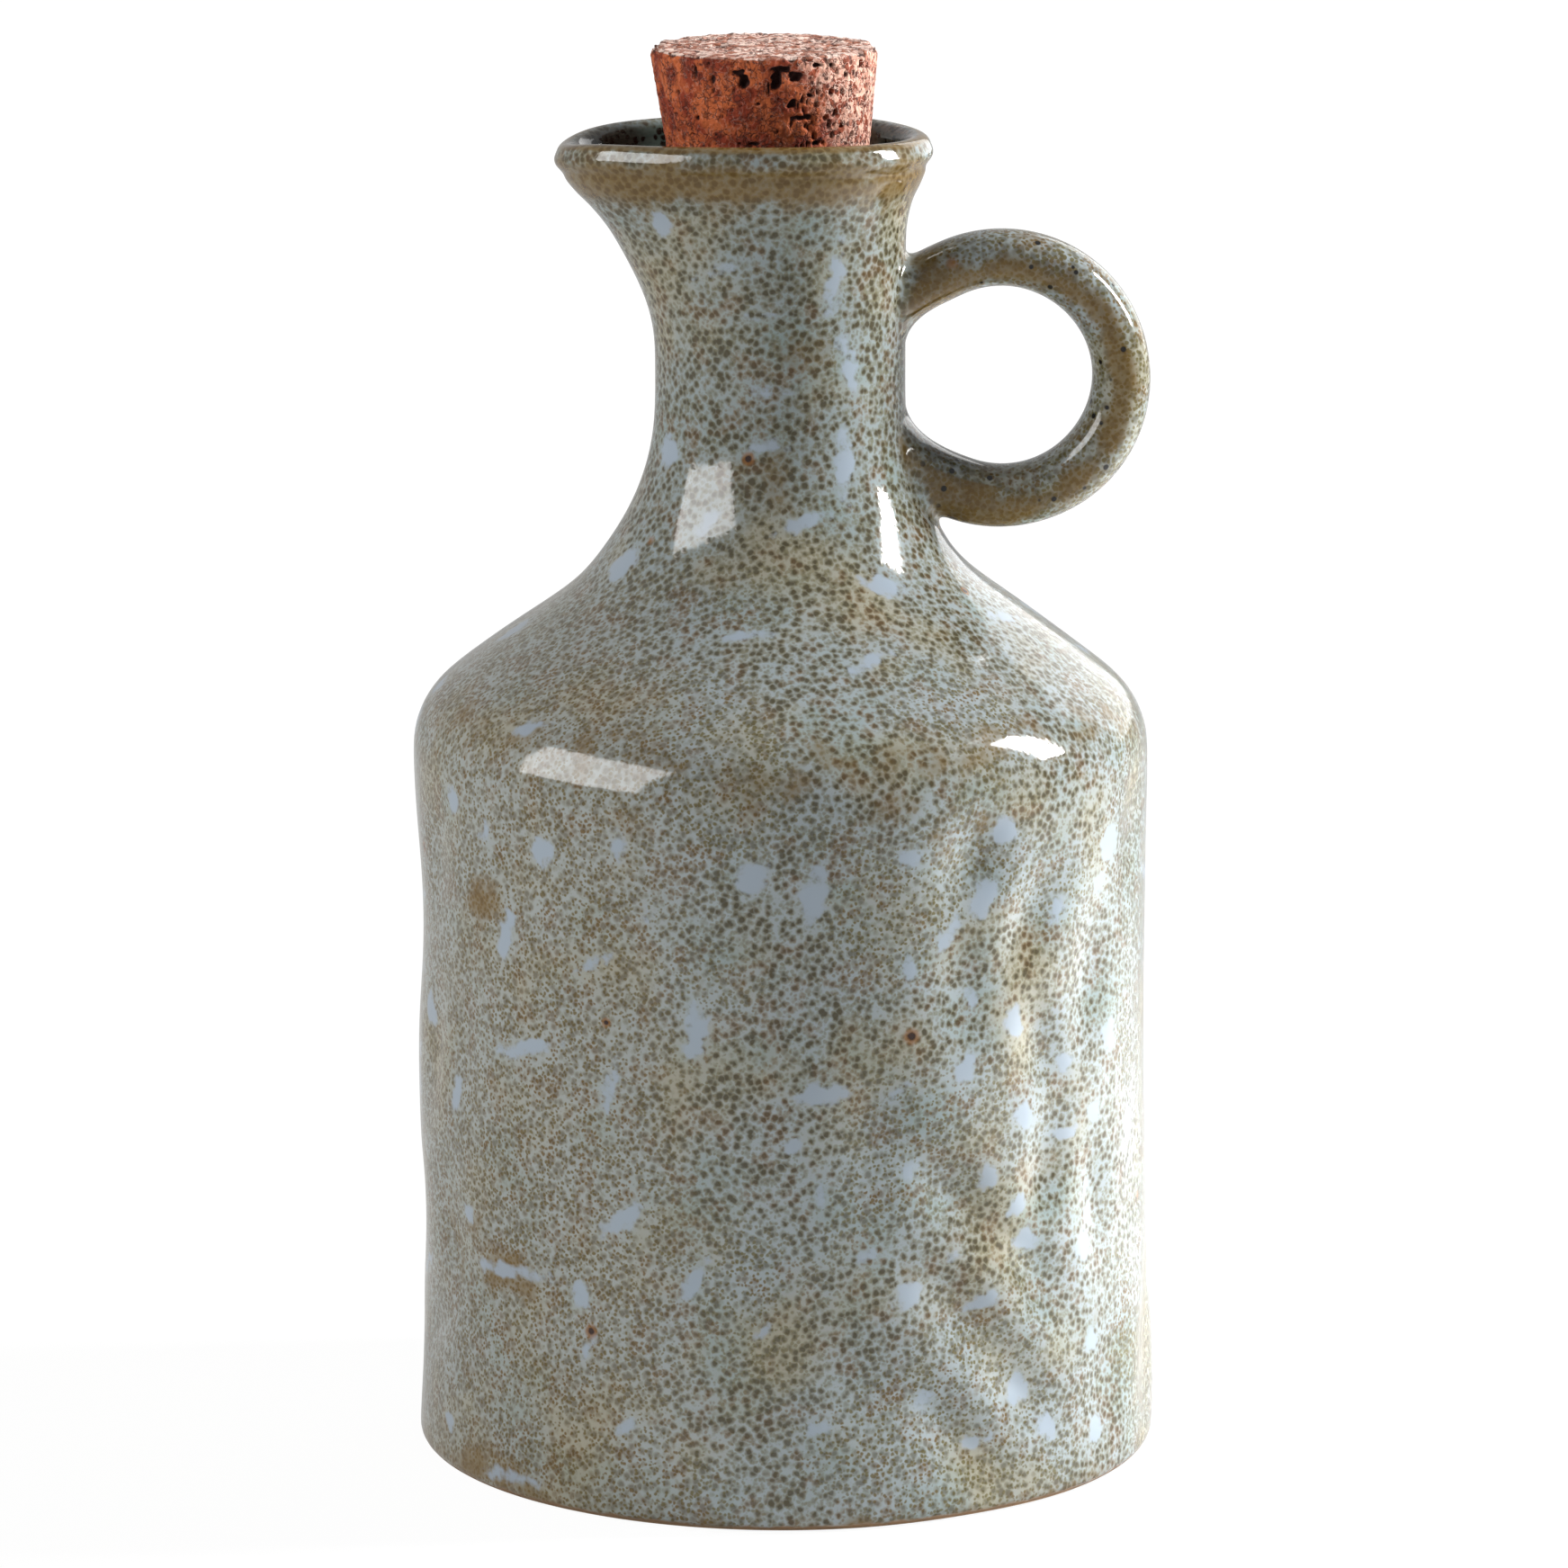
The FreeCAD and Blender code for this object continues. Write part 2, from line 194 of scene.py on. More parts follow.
# Hand-made dents: angle, height, depth, half width across, half height.
DENTS = np.array([
    (186.0, 75.0, 1.0, 17.0, 12.0), (180.0, 116.0, 1.2, 42.0, 4.5), (4.0, 121.0, 0.9, 30.0, 4.5),
    (-78.0, 84.0, 0.7, 14.0, 13.0), (-52.0, 90.0, 0.7, 11.0, 8.0), (-76.0, 30.0, 0.7, 13.0, 22.0),
    (-46.0, 52.0, 0.6, 12.0, 12.0), (-60.0, 9.0, 0.9, 13.0, 15.0), (-122.0, 52.0, 0.5, 18.0, 18.0),
    (60.0, 62.0, 0.9, 17.0, 20.0), (112.0, 34.0, 0.8, 15.0, 18.0), (128.0, 82.0, 0.7, 14.0, 13.0),
])


# %% The outline, from foot to rim
def arc(centre, radius, start, end, step=15.0):
    """Points centre + radius (cos t, sin t) for t from start to end."""
    count = max(2, int(math.ceil(abs(end - start) / step)))
    t = np.radians(np.linspace(start, end, count + 1))
    return np.stack([centre[0] + radius * np.cos(t), centre[1] + radius * np.sin(t)], axis=1)


def between(start, end, count):
    """count points strictly between two points, evenly spaced."""
    share = np.arange(1, count + 1)[:, None] / (count + 1.0)
    return np.asarray(start) + (np.asarray(end) - np.asarray(start)) * share


pitch = math.radians(SHOULDER_PITCH)
corner = arc((BODY_RADIUS + SHOULDER_SPREAD - SHOULDER_CORNER, WALL_TOP), SHOULDER_CORNER, 0.0, 90.0 - SHOULDER_PITCH)
sweep_r = NECK_RADIUS + SHOULDER_SWEEP
join_r = sweep_r - SHOULDER_SWEEP * math.sin(pitch)
sweep_z = corner[-1, 1] + (corner[-1, 0] - join_r) * math.tan(pitch) + SHOULDER_SWEEP * math.cos(pitch)
sweep = arc((sweep_r, sweep_z), SHOULDER_SWEEP, 270.0 - SHOULDER_PITCH, 180.0, 7.0)
shoulder = np.vstack([corner, between(corner[-1], sweep[0], 4), sweep])

RIM_HEIGHT = sweep_z + NECK_TALL
flare_rise = RIM_STAND_OUT - 0.4 * RIM_BEAD
flare_start = RIM_HEIGHT - 2.2 * RIM_BEAD - math.sqrt(FLARE_RADIUS**2 - (FLARE_RADIUS - flare_rise) ** 2)
flare_turn = math.degrees(math.acos((FLARE_RADIUS - flare_rise) / FLARE_RADIUS))
flare = arc((NECK_RADIUS + FLARE_RADIUS, flare_start), FLARE_RADIUS, 180.0, 180.0 - flare_turn, 6.0)
foot = arc((BODY_RADIUS + FOOT_SPREAD - FOOT_EDGE, FOOT_EDGE), FOOT_EDGE, -90.0, 0.0, 22.5)
wall = between(foot[-1], (0.0, WALL_TOP), 11)
wall[:, 0] = (
    BODY_RADIUS
    + FOOT_SPREAD * (1.0 - smooth((wall[:, 1] - FOOT_EDGE) / FOOT_TALL))
    + SHOULDER_SPREAD * smooth(1.0 - (WALL_TOP - wall[:, 1]) / SHOULDER_TALL)
)
outside = np.vstack([foot, wall, shoulder, between(shoulder[-1], flare[0], 4), flare])
print(f"rim at {RIM_HEIGHT:.2f} mm, neck starts at {sweep_z:.2f} mm, {len(outside)} points on the outside")


# %% The control net
def dent_depth(angle, height):
    """Sum of depth x exp(-(angle gap / width)^2) x exp(-((height - middle) / tall)^2) over the dents."""
    at, middle, depth, wide, tall = (DENTS[:, k].reshape(-1, *([1] * np.ndim(angle))) for k in range(5))
    return (depth * bell(angle[None], at, wide) * hump(height[None], middle, tall)).sum(axis=0)


def body_shift(height):
    """Place along X of the wall's axis: it moves over towards the foot, whose own base is set back a little."""
    low = WALL_SHIFT * (1.0 - smooth(height / SHIFT_TALL))
    return low + (BASE_SHIFT - WALL_SHIFT) * (1.0 - smooth(height / BASE_TALL))


SEAT_BOTTOM = RIM_HEIGHT - CORK_DEPTH
LEAN, TAPER = math.radians(CORK_LEAN), math.tan(math.radians(CORK_TAPER))


def seat_shift(height):
    """Place along X of the cork's leaning axis."""
    return CORK_SHIFT - math.tan(LEAN) * (height - SEAT_BOTTOM - CORK_SEAT / 2.0)


def control_net():
    """Rows of points round the bottle, as one array: up the outside, over the roll, down to the cork's seat.
    radius(angle) = outline + reach x pull x bell(angle) - dents, and the rim sags by a cosine and a bell. A
    circle through the net's own points would come out too small, so the radius grows by 3 / (2 + cos step)."""
    bead = np.array([NECK_RADIUS + RIM_STAND_OUT - RIM_BEAD, RIM_HEIGHT - RIM_BEAD])
    roll = arc(bead, RIM_BEAD, ROLL_START, ROLL_END, 24.0)
    seat_top = SEAT_BOTTOM + CORK_SEAT
    funnel_top = np.array([bead[0] - RIM_BEAD, bead[1] - 1.5 * RIM_BEAD])
    funnel_foot = np.array([BORE_RADIUS + CORK_SEAT * TAPER, seat_top])
    funnel = np.vstack([funnel_top[None], between(funnel_top, funnel_foot, 2)])
    seat_z = np.linspace(seat_top, SEAT_BOTTOM, 5)
    seat = np.stack([BORE_RADIUS + (seat_z - SEAT_BOTTOM) * TAPER, seat_z], axis=1)
    well = np.stack([np.full(3, BORE_RADIUS), SEAT_BOTTOM - SEAT_RELIEF * np.arange(1, 4) / 3.0], axis=1)

    def pull(z, depth):
        return smooth((z - (bead[1] - depth)) / depth)

    out_z, funnel_z = outside[:, 1], funnel[:, 1]
    # Points, share of the lip's reach, share of its droop, share of the dents, shift along X.
    groups = [
        (outside, pull(out_z, LIP_DEPTH), pull(out_z, DROOP_DEPTH), 1.0, body_shift(out_z)),
        (roll, np.ones(len(roll)), np.ones(len(roll)), 0.0, np.zeros(len(roll))),
        (funnel, pull(funnel_z, LIP_CHANNEL), pull(funnel_z, DROOP_DEPTH), 0.0, np.full(3, seat_shift(seat_top))),
        (seat, pull(seat_z, LIP_CHANNEL), np.zeros(5), 0.0, seat_shift(seat_z)),
        (well, np.zeros(3), np.zeros(3), 0.0, np.full(3, seat_shift(SEAT_BOTTOM))),
    ]
    line = np.vstack([g[0] for g in groups])
    lip, sway, shift = (np.concatenate([g[k] for g in groups])[:, None] for k in (1, 2, 4))
    dented = np.concatenate([np.full(len(g[0]), g[3]) for g in groups])[:, None]
    angle = np.arange(NET_AROUND) * 360.0 / NET_AROUND
    angles, heights = np.meshgrid(angle, line[:, 1])
    radius = line[:, :1] + LIP_REACH * lip * bell(angle, LIP_ANGLE, LIP_SPREAD)
    radius = radius - dented * dent_depth(angles, heights)
    radius = radius * 3.0 / (2.0 + math.cos(2.0 * math.pi / NET_AROUND))
    turn = np.radians(angles)
    sag = RIM_SWAY * np.cos(turn) ** 2 + LIP_DROOP * bell(angles, LIP_ANGLE, DROOP_SPREAD)
    net = np.stack([shift + radius * np.cos(turn), radius * np.sin(turn), heights - sway * sag], axis=-1)
    return net, line


net, line = control_net()
print("control net:", net.shape)

# %% [markdown]
# ## A grid that is finest where the form turns tightest
# The profile's spline parameter runs fast over the wall and slowly over the rim. Measuring the length along the
# profile and dividing it by a wanted spacing gives rows about 0.9 mm apart on the wall and 0.3 mm on the rim.

# %% The bottle's own grid
AROUND = 300
# Height, and how far apart the rows are there.
ROW_SPACING = np.array([
    (0.0, 0.4), (3.0, 0.4), (5.0, 0.88), (RIM_HEIGHT - 20.0, 0.88), (RIM_HEIGHT - 9.0, 0.27), (RIM_HEIGHT, 0.27),
])


def profile_parameters():
    """Spline parameters of the rows: the running sum of length / spacing, read backwards at whole numbers."""
    fine = np.linspace(0.0, len(line) - 3.0, 8001)
    curve = clamped_weights(len(line), fine) @ line
    step = np.hypot(*np.diff(curve, axis=0).T)
    spacing = np.interp(0.5 * (curve[1:, 1] + curve[:-1, 1]), *ROW_SPACING.T)
    count = np.concatenate([[0.0], np.cumsum(step / spacing)])
    return np.interp(np.linspace(0.0, count[-1], int(count[-1])), count, fine)


ROW_AT = profile_parameters()
along = clamped_weights(len(line), ROW_AT)
across = closed_weights(NET_AROUND, np.arange(AROUND) * NET_AROUND / AROUND)
body_grid = np.einsum("rj,jak,ia->rik", along, net, across)
# Spline parameters at the end of the outside, and at the top of the roll.
OUTSIDE_END, RIM_CREST = len(outside) - 2.5, len(outside) + 4.4
ON_OUTSIDE = ROW_AT < OUTSIDE_END
FAR_DOWN = 99.0


def below_crest(grid):
    """Millimetres below the rim's crest at each point of the outside, and a large number inside."""
    down = grid[..., 2].max(axis=0)[None] - grid[..., 2]
    return np.where((ROW_AT < RIM_CREST)[:, None], down, FAR_DOWN)


# %% Marks of the hands
# Marks round the rim: millimetres below its crest, half height, depth.
RIM_MARKS = ((1.3, 0.7, 0.17), (4.0, 0.75, 0.32), (6.6, 1.2, -0.14))


def trim_rim(grid):
    """The rim was pressed with a wet leather: its face is flatter than the roll, with a soft groove under it and
    a faint swelling under that. Each mark moves the skin in by depth x exp(-((down - middle) / half height)^2)."""
    down = below_crest(grid)
    return pressed_in(grid, sum(depth * hump(down, middle, tall) for middle, tall, depth in RIM_MARKS))


# Hollows pressed by hand: angle, height, depth, half length, half width in mm, tilt of the length from upright.
HOLLOWS = [
    (-59.0, 88.0, 1.6, 6.0, 4.5, 20), (-60.5, 73.0, 1.12, 9.0, 4.5, -8), (-61.0, 43.0, 1.76, 9.5, 4.2, -42),
    (-60.5, 28.0, 1.76, 9.5, 4.2, -40), (-62.5, 12.0, 1.6, 9.0, 4.2, -42), (-45.0, 62.0, 1.44, 8.0, 4.0, -20),
    (-44.0, 46.0, 1.44, 7.5, 3.8, 12), (-47.0, 32.0, 1.28, 8.0, 4.0, -36), (-48.0, 79.0, 1.28, 8.0, 4.0, 24),
    (-50.0, 16.0, 1.28, 7.0, 4.0, -38), (-33.0, 70.0, 1.28, 10.0, 4.2, 4), (-31.0, 38.0, 1.28, 9.0, 4.0, -6),
    (-30.0, 14.0, 1.12, 8.0, 4.5, 20), (-76.0, 52.0, 0.75, 13.0, 5.0, 0), (-78.0, 20.0, 0.9, 9.0, 5.0, -30),
    (-98.0, 40.0, 0.52, 12.0, 6.0, 40), (-112.0, 72.0, 0.52, 10.0, 6.0, -35), (-128.0, 30.0, 0.6, 12.0, 5.5, 60),
    (-134.0, 84.0, 0.6, 8.0, 6.0, 30), (-150.0, 60.0, 0.78, 10.0, 5.0, 8), (-154.0, 34.0, 0.65, 9.0, 5.0, -14),
    (-158.0, 84.0, 0.78, 7.0, 4.5, 12), (-118.0, 14.0, 0.52, 9.0, 5.0, -70),
]


# The back's hollows are random: how many, and the limits of each of those numbers.
BACK_HOLLOWS = 44
BACK_LIMITS = ((-20.0, 200.0), (6.0, 92.0), (0.3, 0.9), (6.0, 11.0), (3.8, 6.0), (-60.0, 60.0))
SHOULDER_TOP, TOP_FADE, FOOT_FADE = 104.0, 6.0, 4.0


def hollow_depth(grid, hollows):
    """Sum of depth x exp(-(u / long)^2 - (v / wide)^2), with u and v measured on the wall along and across each
    hollow's tilted length. It fades to nothing at the shoulder's top and at the foot."""
    angle, z = polar(grid)[0], grid[..., 2]
    depth = np.zeros(grid.shape[:2])
    for at, height, deep, long, wide, tilt in hollows:
        u, v = tilted(short_way(angle, at) * math.pi / 180.0 * BODY_RADIUS, z - height, tilt)
        depth += deep * np.exp(-((u / long) ** 2) - (v / wide) ** 2)
    return depth * smooth((SHOULDER_TOP - z) / TOP_FADE) * smooth(z / FOOT_FADE) * ON_OUTSIDE[:, None]


back = scattered(np.random.default_rng(7), BACK_HOLLOWS, BACK_LIMITS)
body_grid = trim_rim(body_grid)
body_grid = pressed_in(body_grid, hollow_depth(body_grid, np.vstack([np.array(HOLLOWS, float), back])))
lowest, highest = body_grid.min(axis=(0, 1)).round(2), body_grid.max(axis=(0, 1)).round(2)
print("body grid:", body_grid.shape, "lowest", lowest, "highest", highest)

# %% [markdown]
# ## The finger ring
# The potter pulls a strap, bends it into a ring and works both ends into the neck. The strap follows a circle
# and two short curves into the wall, and its section is a slightly squared oval that grows towards the lower
# end. Where it meets the neck the clay is smoothed into a fillet, so each line along the strap ends in a small
# parabola that leaves the strap straight and lands flat on the neck.

# %% Sizes of the ring, in millimetres and degrees
RING_RADIUS, RING_LIFT, RING_STAND_OFF = 16.05, 3.1, 12.75
RING_THICK, RING_HEAVY, RING_WIDE = 7.4, 8.4, 9.6
UPPER_DROP, UPPER_RISE, LOWER_RAISE, LOWER_RISE = 4.05, 16.0, 0.45, 0.0
ARC_START, ARC_END, ROOT_PULL, SQUARENESS = 112.0, -110.0, 1.05, 0.86
ARC_POINTS, ROOT_POINTS, RING_AROUND = 150, 30, 64
RING_CENTRE = np.array([NECK_RADIUS + RING_STAND_OFF, sweep_z + RING_LIFT])

# %% The neck's skin near the ring
side = np.arange(-40, 41)
columns = body_grid[:, side % AROUND]
column_z = columns[:, :, 2].mean(axis=1)
near = ON_OUTSIDE & (column_z > 100.0) & (column_z < RIM_HEIGHT - 6.0)
SKIN_Z = np.linspace(104.0, RIM_HEIGHT - 8.0, 400)
SKIN_ANGLE = side * 360.0 / AROUND
SKIN = np.stack([np.interp(SKIN_Z, c[:, 2], polar(c)[1]) for c in np.swapaxes(columns[near], 0, 1)], axis=1)


def skin_radius(points):
    """Radius of the neck's skin in the direction and at the height of each point, by blending the four
    nearest samples of the skin."""
    u = np.clip((polar(points)[0] - SKIN_ANGLE[0]) / (SKIN_ANGLE[1] - SKIN_ANGLE[0]), 0, len(SKIN_ANGLE) - 1.001)
    v = np.clip((points[..., 2] - SKIN_Z[0]) / (SKIN_Z[1] - SKIN_Z[0]), 0, len(SKIN_Z) - 1.001)
    i, j = u.astype(int), v.astype(int)
    u, v = u - i, v - j
    low = SKIN[j, i] * (1 - u) + SKIN[j, i + 1] * u
    high = SKIN[j + 1, i] * (1 - u) + SKIN[j + 1, i + 1] * u
    return low * (1 - v) + high * v


def above_skin(points):
    """How far outside the neck's skin a point lies, measured along the radius."""
    return polar(points)[1] - skin_radius(points)


# %% The ring's strap
def ring_path():
    """Centre line (x, z), its direction, and the share of the way round: a Hermite curve out of the neck, an
    arc of the ring's circle, and a Hermite curve back in."""
    def hermite(start, leave, end, arrive):
        t = np.linspace(0.0, 1.0, ROOT_POINTS)[:, None]
        reach = ROOT_PULL * np.hypot(*(end - start))
        return (
            (2 * t**3 - 3 * t**2 + 1) * start + (t**3 - 2 * t**2 + t) * reach * leave
            + (3 * t**2 - 2 * t**3) * end + (t**3 - t**2) * reach * arrive
        )

    def root(height, rise):
        rise = math.radians(rise)
        wall = float(skin_radius(np.array([20.0, 0.0, height])))
        return np.array([wall, height]), np.array([math.cos(rise), math.sin(rise)])

    upper, upper_way = root(RING_CENTRE[1] + RING_RADIUS - UPPER_DROP, UPPER_RISE)
    lower, lower_way = root(RING_CENTRE[1] - RING_RADIUS + LOWER_RAISE, LOWER_RISE)
    first, last = math.radians(ARC_START), math.radians(ARC_END)
    turn = np.linspace(first, last, ARC_POINTS)[:, None]
    circle = RING_CENTRE + RING_RADIUS * np.hstack([np.cos(turn), np.sin(turn)])
    into = np.array([math.sin(first), -math.cos(first)])
    out_of = np.array([math.sin(last), -math.cos(last)])
    path = np.vstack([
        hermite(upper, upper_way, circle[0], into)[:-1], circle, hermite(circle[-1], out_of, lower, -lower_way)[1:],
    ])
    way = np.gradient(path, axis=0)
    return path, way / np.hypot(way[:, 0], way[:, 1])[:, None], np.linspace(0.0, 1.0, len(path))


def strap(path, way, share):
    """Points of the section round the path: up = sign(sin) |sin|^0.86 half thickness, side the same with the
    cosine, which squares an oval slightly. Two slow waves keep the hand's unevenness."""
    turn = np.arange(RING_AROUND) * 2.0 * math.pi / RING_AROUND
    square = lambda wave: np.sign(wave) * np.abs(wave) ** SQUARENESS
    thick = (RING_THICK + (RING_HEAVY - RING_THICK) * smooth(share)) / 2.0
    thick = thick * (1.0 + 0.012 * np.sin(9.0 * share + 0.6) + 0.008 * np.sin(23.0 * share))
    up = square(np.sin(turn))[None] * thick[:, None]
    side = square(np.cos(turn))[None] * RING_WIDE / 2.0 * (1.0 + 0.015 * np.sin(7.0 * share + 2.0))[:, None]
    out = np.stack([-way[:, 1], way[:, 0]], axis=1)
    xz = path[:, None, :] + out[:, None, :] * up[:, :, None]
    return np.stack([xz[..., 0], side, xz[..., 1]], axis=-1)


path, way, share = ring_path()
ring_grid = strap(path, way, share)
print("ring from", path[0].round(2), "round to", path[-1].round(2))

# %% Fillets where the strap meets the neck
SINK, FILLET_ROWS, FURTHEST, HALVINGS = 0.05, 14, 14.0, 34
# Where the strap stops before the neck, and the fillet's width above, below and beside it.
UPPER_FILLET, LOWER_FILLET = (3.6, 1.6, 3.6, 2.2), (4.6, 5.0, 3.0, 3.4)


def fillet(start, inward, size_up, size_down, size_side):
    """Rows that carry each line of the strap down onto the skin. Each line is the parabola
    (1-t)^2 A + 2t(1-t) B + t^2 C: A lies on the strap, B where the line would pierce the skin, found by halving,
    and C on the skin, as far from B as the fillet is wide."""
    way_in = np.array([inward[0], 0.0, inward[1]])
    low, high = np.zeros(len(start)), np.full(len(start), FURTHEST)
    for _ in range(HALVINGS):
        half = 0.5 * (low + high)
        outside_it = above_skin(start + half[:, None] * way_in) > 0.0
        low, high = np.where(outside_it, half, low), np.where(outside_it, high, half)
    pierce = start + low[:, None] * way_in
    away = pierce - pierce.mean(axis=0)
    away /= np.linalg.norm(away, axis=1)[:, None]
    rise, fall = np.clip(away[:, 2], 0, 1) ** 1.5, np.clip(-away[:, 2], 0, 1) ** 1.5
    size = size_side + (size_up - size_side) * rise + (size_down - size_side) * fall
    land = pierce + away * size[:, None]
    land[:, :2] *= ((skin_radius(land) - SINK) / polar(land)[1])[:, None]
    t = np.linspace(0.0, 1.0, FILLET_ROWS + 1)[1:, None, None]
    rows = (1 - t) ** 2 * start + 2 * t * (1 - t) * pierce + t**2 * land
    gap = above_skin(rows)
    return pressed_in(rows, -np.where(gap < -SINK, -SINK - gap, 0.0))


def first_beyond(points, stop):
    """Number of the first point that lies further than the stop from the first one."""
    return int(np.argmax(np.hypot(*(points - points[0]).T) > stop))


upper_stop = first_beyond(path, UPPER_FILLET[0])
lower_stop = len(path) - 1 - first_beyond(path[::-1], LOWER_FILLET[0])
upper_rows = fillet(ring_grid[upper_stop], -way[upper_stop], *UPPER_FILLET[1:])
lower_rows = fillet(ring_grid[lower_stop], way[lower_stop], *LOWER_FILLET[1:])
ring_rows = np.vstack([upper_rows[::-1], ring_grid[upper_stop : lower_stop + 1], lower_rows])
print("ring grid:", ring_rows.shape)

# %% [markdown]
# ## What the glaze does where
# A reactive glaze is thin and rusty on edges, thick and clear where it pools, and it leaves clear strokes where
# the brush or sponge touched. These are smooth fields over the surface, so they are worked out once at each
# point of the mesh, in millimetres, and the material turns them into crisp shapes with its own fine noise.

# %% Clear strokes: angle, height, half length, half width, tilt from upright
FRONT_STROKES = [
    (-129, 89, 2.2, 2.0, 25), (-151, 93, 2.5, 1.8, -44), (-142, 90, 1.5, 1.0, 16), (-115, 91, 2.5, 1.2, -6),
    (-137, 77, 4.1, 1.4, 17), (-94, 88, 2.5, 2.0, 50), (-85, 85, 4.0, 1.8, 15), (-103, 67, 4.0, 1.6, 10),
    (-133, 62, 6.0, 1.2, 77), (-117, 59, 3.3, 1.1, 20), (-84, 59, 5.0, 1.5, 88), (-70, 90, 1.7, 1.4, 21),
    (-53, 92, 2.2, 2.1, 46), (-57, 83, 3.0, 1.9, 40), (-51, 66, 2.4, 1.9, -25), (-49, 53, 2.2, 1.8, -38),
    (-56, 46, 1.9, 1.8, -24), (-50, 41, 1.8, 1.6, 48), (-33, 37, 1.3, 1.8, 0), (-33, 41, 1.1, 1.5, 0),
    (-60, 61, 2.5, 1.7, 23), (-63, 79, 3.1, 1.2, 33), (-32, 51, 1.7, 1.6, 0), (-39, 49, 2.3, 1.0, 84),
    (-115, 41, 3.8, 1.3, 62), (-139, 31, 7.2, 1.1, 85), (-123, 30, 2.1, 1.7, -24), (-70, 31, 2.3, 1.7, 81),
    (-56, 29, 3.0, 1.3, 77), (-48, 36, 2.0, 2.0, -13), (-35, 33, 2.1, 2.2, 17), (-34, 20, 1.7, 1.7, 0),
    (-50, 16, 2.5, 1.9, 13), (-45, 10, 2.8, 1.3, -21), (-84, 45, 2.5, 0.8, 0), (-88, 52, 1.3, 1.1, 0),
    (-103, 34, 3.0, 1.0, 26), (-121, 23, 2.5, 1.0, 17), (-136, 3, 4.7, 0.9, 87), (-58, 10, 2.4, 1.1, 82),
    (-99, 116, 3.0, 0.9, 84), (-136, 104, 3.0, 1.0, 68), (-151, 122, 3.0, 2.6, 50), (-57, 121, 3.4, 1.8, -64),
    (-21, 115, 4.4, 1.0, -73), (-92, 146, 3.2, 0.7, 86), (-140, 168, 1.9, 1.6, 30), (-148, 137, 2.3, 2.5, 34),
    (-152, 53, 3.4, 1.5, 17), (-164, 62, 2.5, 2.1, 0), (-28, 87, 2.9, 2.6, 51), (-31, 82, 1.5, 1.6, 0),
    (-19, 47, 3.0, 1.9, 0), (-59, 70, 1.5, 1.1, 0), (-70, 75, 1.5, 1.1, 0), (-72, 59, 1.6, 1.0, 61),
    (-110, 83, 1.5, 0.8, 32), (-120, 75, 2.8, 0.7, 63), (-42, 80, 2.1, 1.3, 29), (-27, 61, 2.5, 1.8, 0),
    (-39, 59, 1.5, 1.7, 0), (-62, 36, 1.5, 1.1, 0), (-69, 48, 1.5, 1.2, 21), (-33, 8, 2.1, 1.8, 18),
    (-77, 37, 1.5, 1.0, 70), (-149, 37, 1.5, 1.4, 0), (-93, 27, 1.7, 0.8, 40), (-85, 14, 2.0, 0.9, 80),
    (-114, 13, 2.1, 1.0, 62), (-67, 16, 1.8, 1.1, 22), (-155, 7, 1.5, 1.5, 0), (-64, 161, 4.5, 1.2, 12),
    (-57, 149, 4.0, 1.2, -14), (-61, 136, 5.0, 1.3, 6), (-118, 162, 3.0, 0.9, 72), (-98, 156, 2.6, 0.7, 84),
    (-82, 129, 3.6, 1.0, 70), (-118, 129, 2.8, 1.1, 40), (-96, 139, 3.2, 0.8, 86), (-70, 113, 3.4, 1.0, 60),
]
MORE_STROKES, STROKE_LIMITS = 150, ((-12.0, 192.0), (4.0, 124.0), (1.3, 4.2), (0.8, 2.2), (-90.0, 90.0))
rng = np.random.default_rng(41)
strokes = np.vstack([np.array(FRONT_STROKES, float), scattered(rng, MORE_STROKES, STROKE_LIMITS)])
print(len(strokes), "clear strokes")


# %% Fields on the body
NO_STROKE = -4.0
# Rust stains: angle, height, half width in degrees, half height, strength.
STAINS = (
    (-143, 80, 5, 4, 0.7), (-140, 30, 14, 6, 0.5), (-146, 4, 14, 4, 0.6), (-60, 93, 12, 4, 0.4), (-62, 32, 10, 6, 0.4),
    (-75, 150, 14, 8, 0.3), (-92, 135, 9, 6, 0.4), (0, 134, 26, 10, 0.6), (0, 157, 26, 9, 0.5), (-86, 99, 30, 4, 0.22),
)


def stroke_field(grid, strokes):
    """Millimetres inside the nearest stroke: (1 - rho) x half width, where rho is the distance from its middle
    with its length and width divided out, measured round the wall and along the profile."""
    angle, radius = polar(grid)
    run = np.concatenate([[0.0], np.cumsum(np.linalg.norm(np.diff(grid[:, 0], axis=0), axis=1))])
    middle_z = grid[:, :, 2].mean(axis=1)
    outer = middle_z[: int(np.argmax(middle_z)) + 1]
    field = np.full(grid.shape[:2], NO_STROKE)
    for at, height, long, wide, tilt in strokes:
        rise = (run - np.interp(height, outer, run[: len(outer)]))[:, None]
        u, v = tilted(short_way(angle, at) * math.pi / 180.0 * radius, rise, tilt)
        field = np.maximum(field, (1.0 - np.hypot(u / long, v / wide)) * min(long, wide))
    return field


def rust_field(grid, down=None):
    """How rusty the glaze is, 0 to 1: bands at the shoulder's turn and at the foot, stains, and, where the depth
    below the rim's crest is given, bands on and under the rim."""
    angle, z = polar(grid)[0], grid[..., 2]
    field = 0.30 * hump(z, 103.0, 4.0) + 0.4 * hump(z, 0.0, 3.0)
    if down is not None:
        field += 0.95 * hump(down, 4.4, 1.9) + 0.6 * smooth((13.0 - down) / 9.0) * smooth((down - 3.0) / 1.5)
        field += 0.75 * smooth((1.0 - down) / 0.8) + 0.22 * smooth((4.0 - down) / 1.0)
    for at, height, wide, tall, strength in STAINS:
        field += strength * (bell(angle, at, wide) * hump(z, height, tall))
    return np.clip(field, 0.0, 1.0)


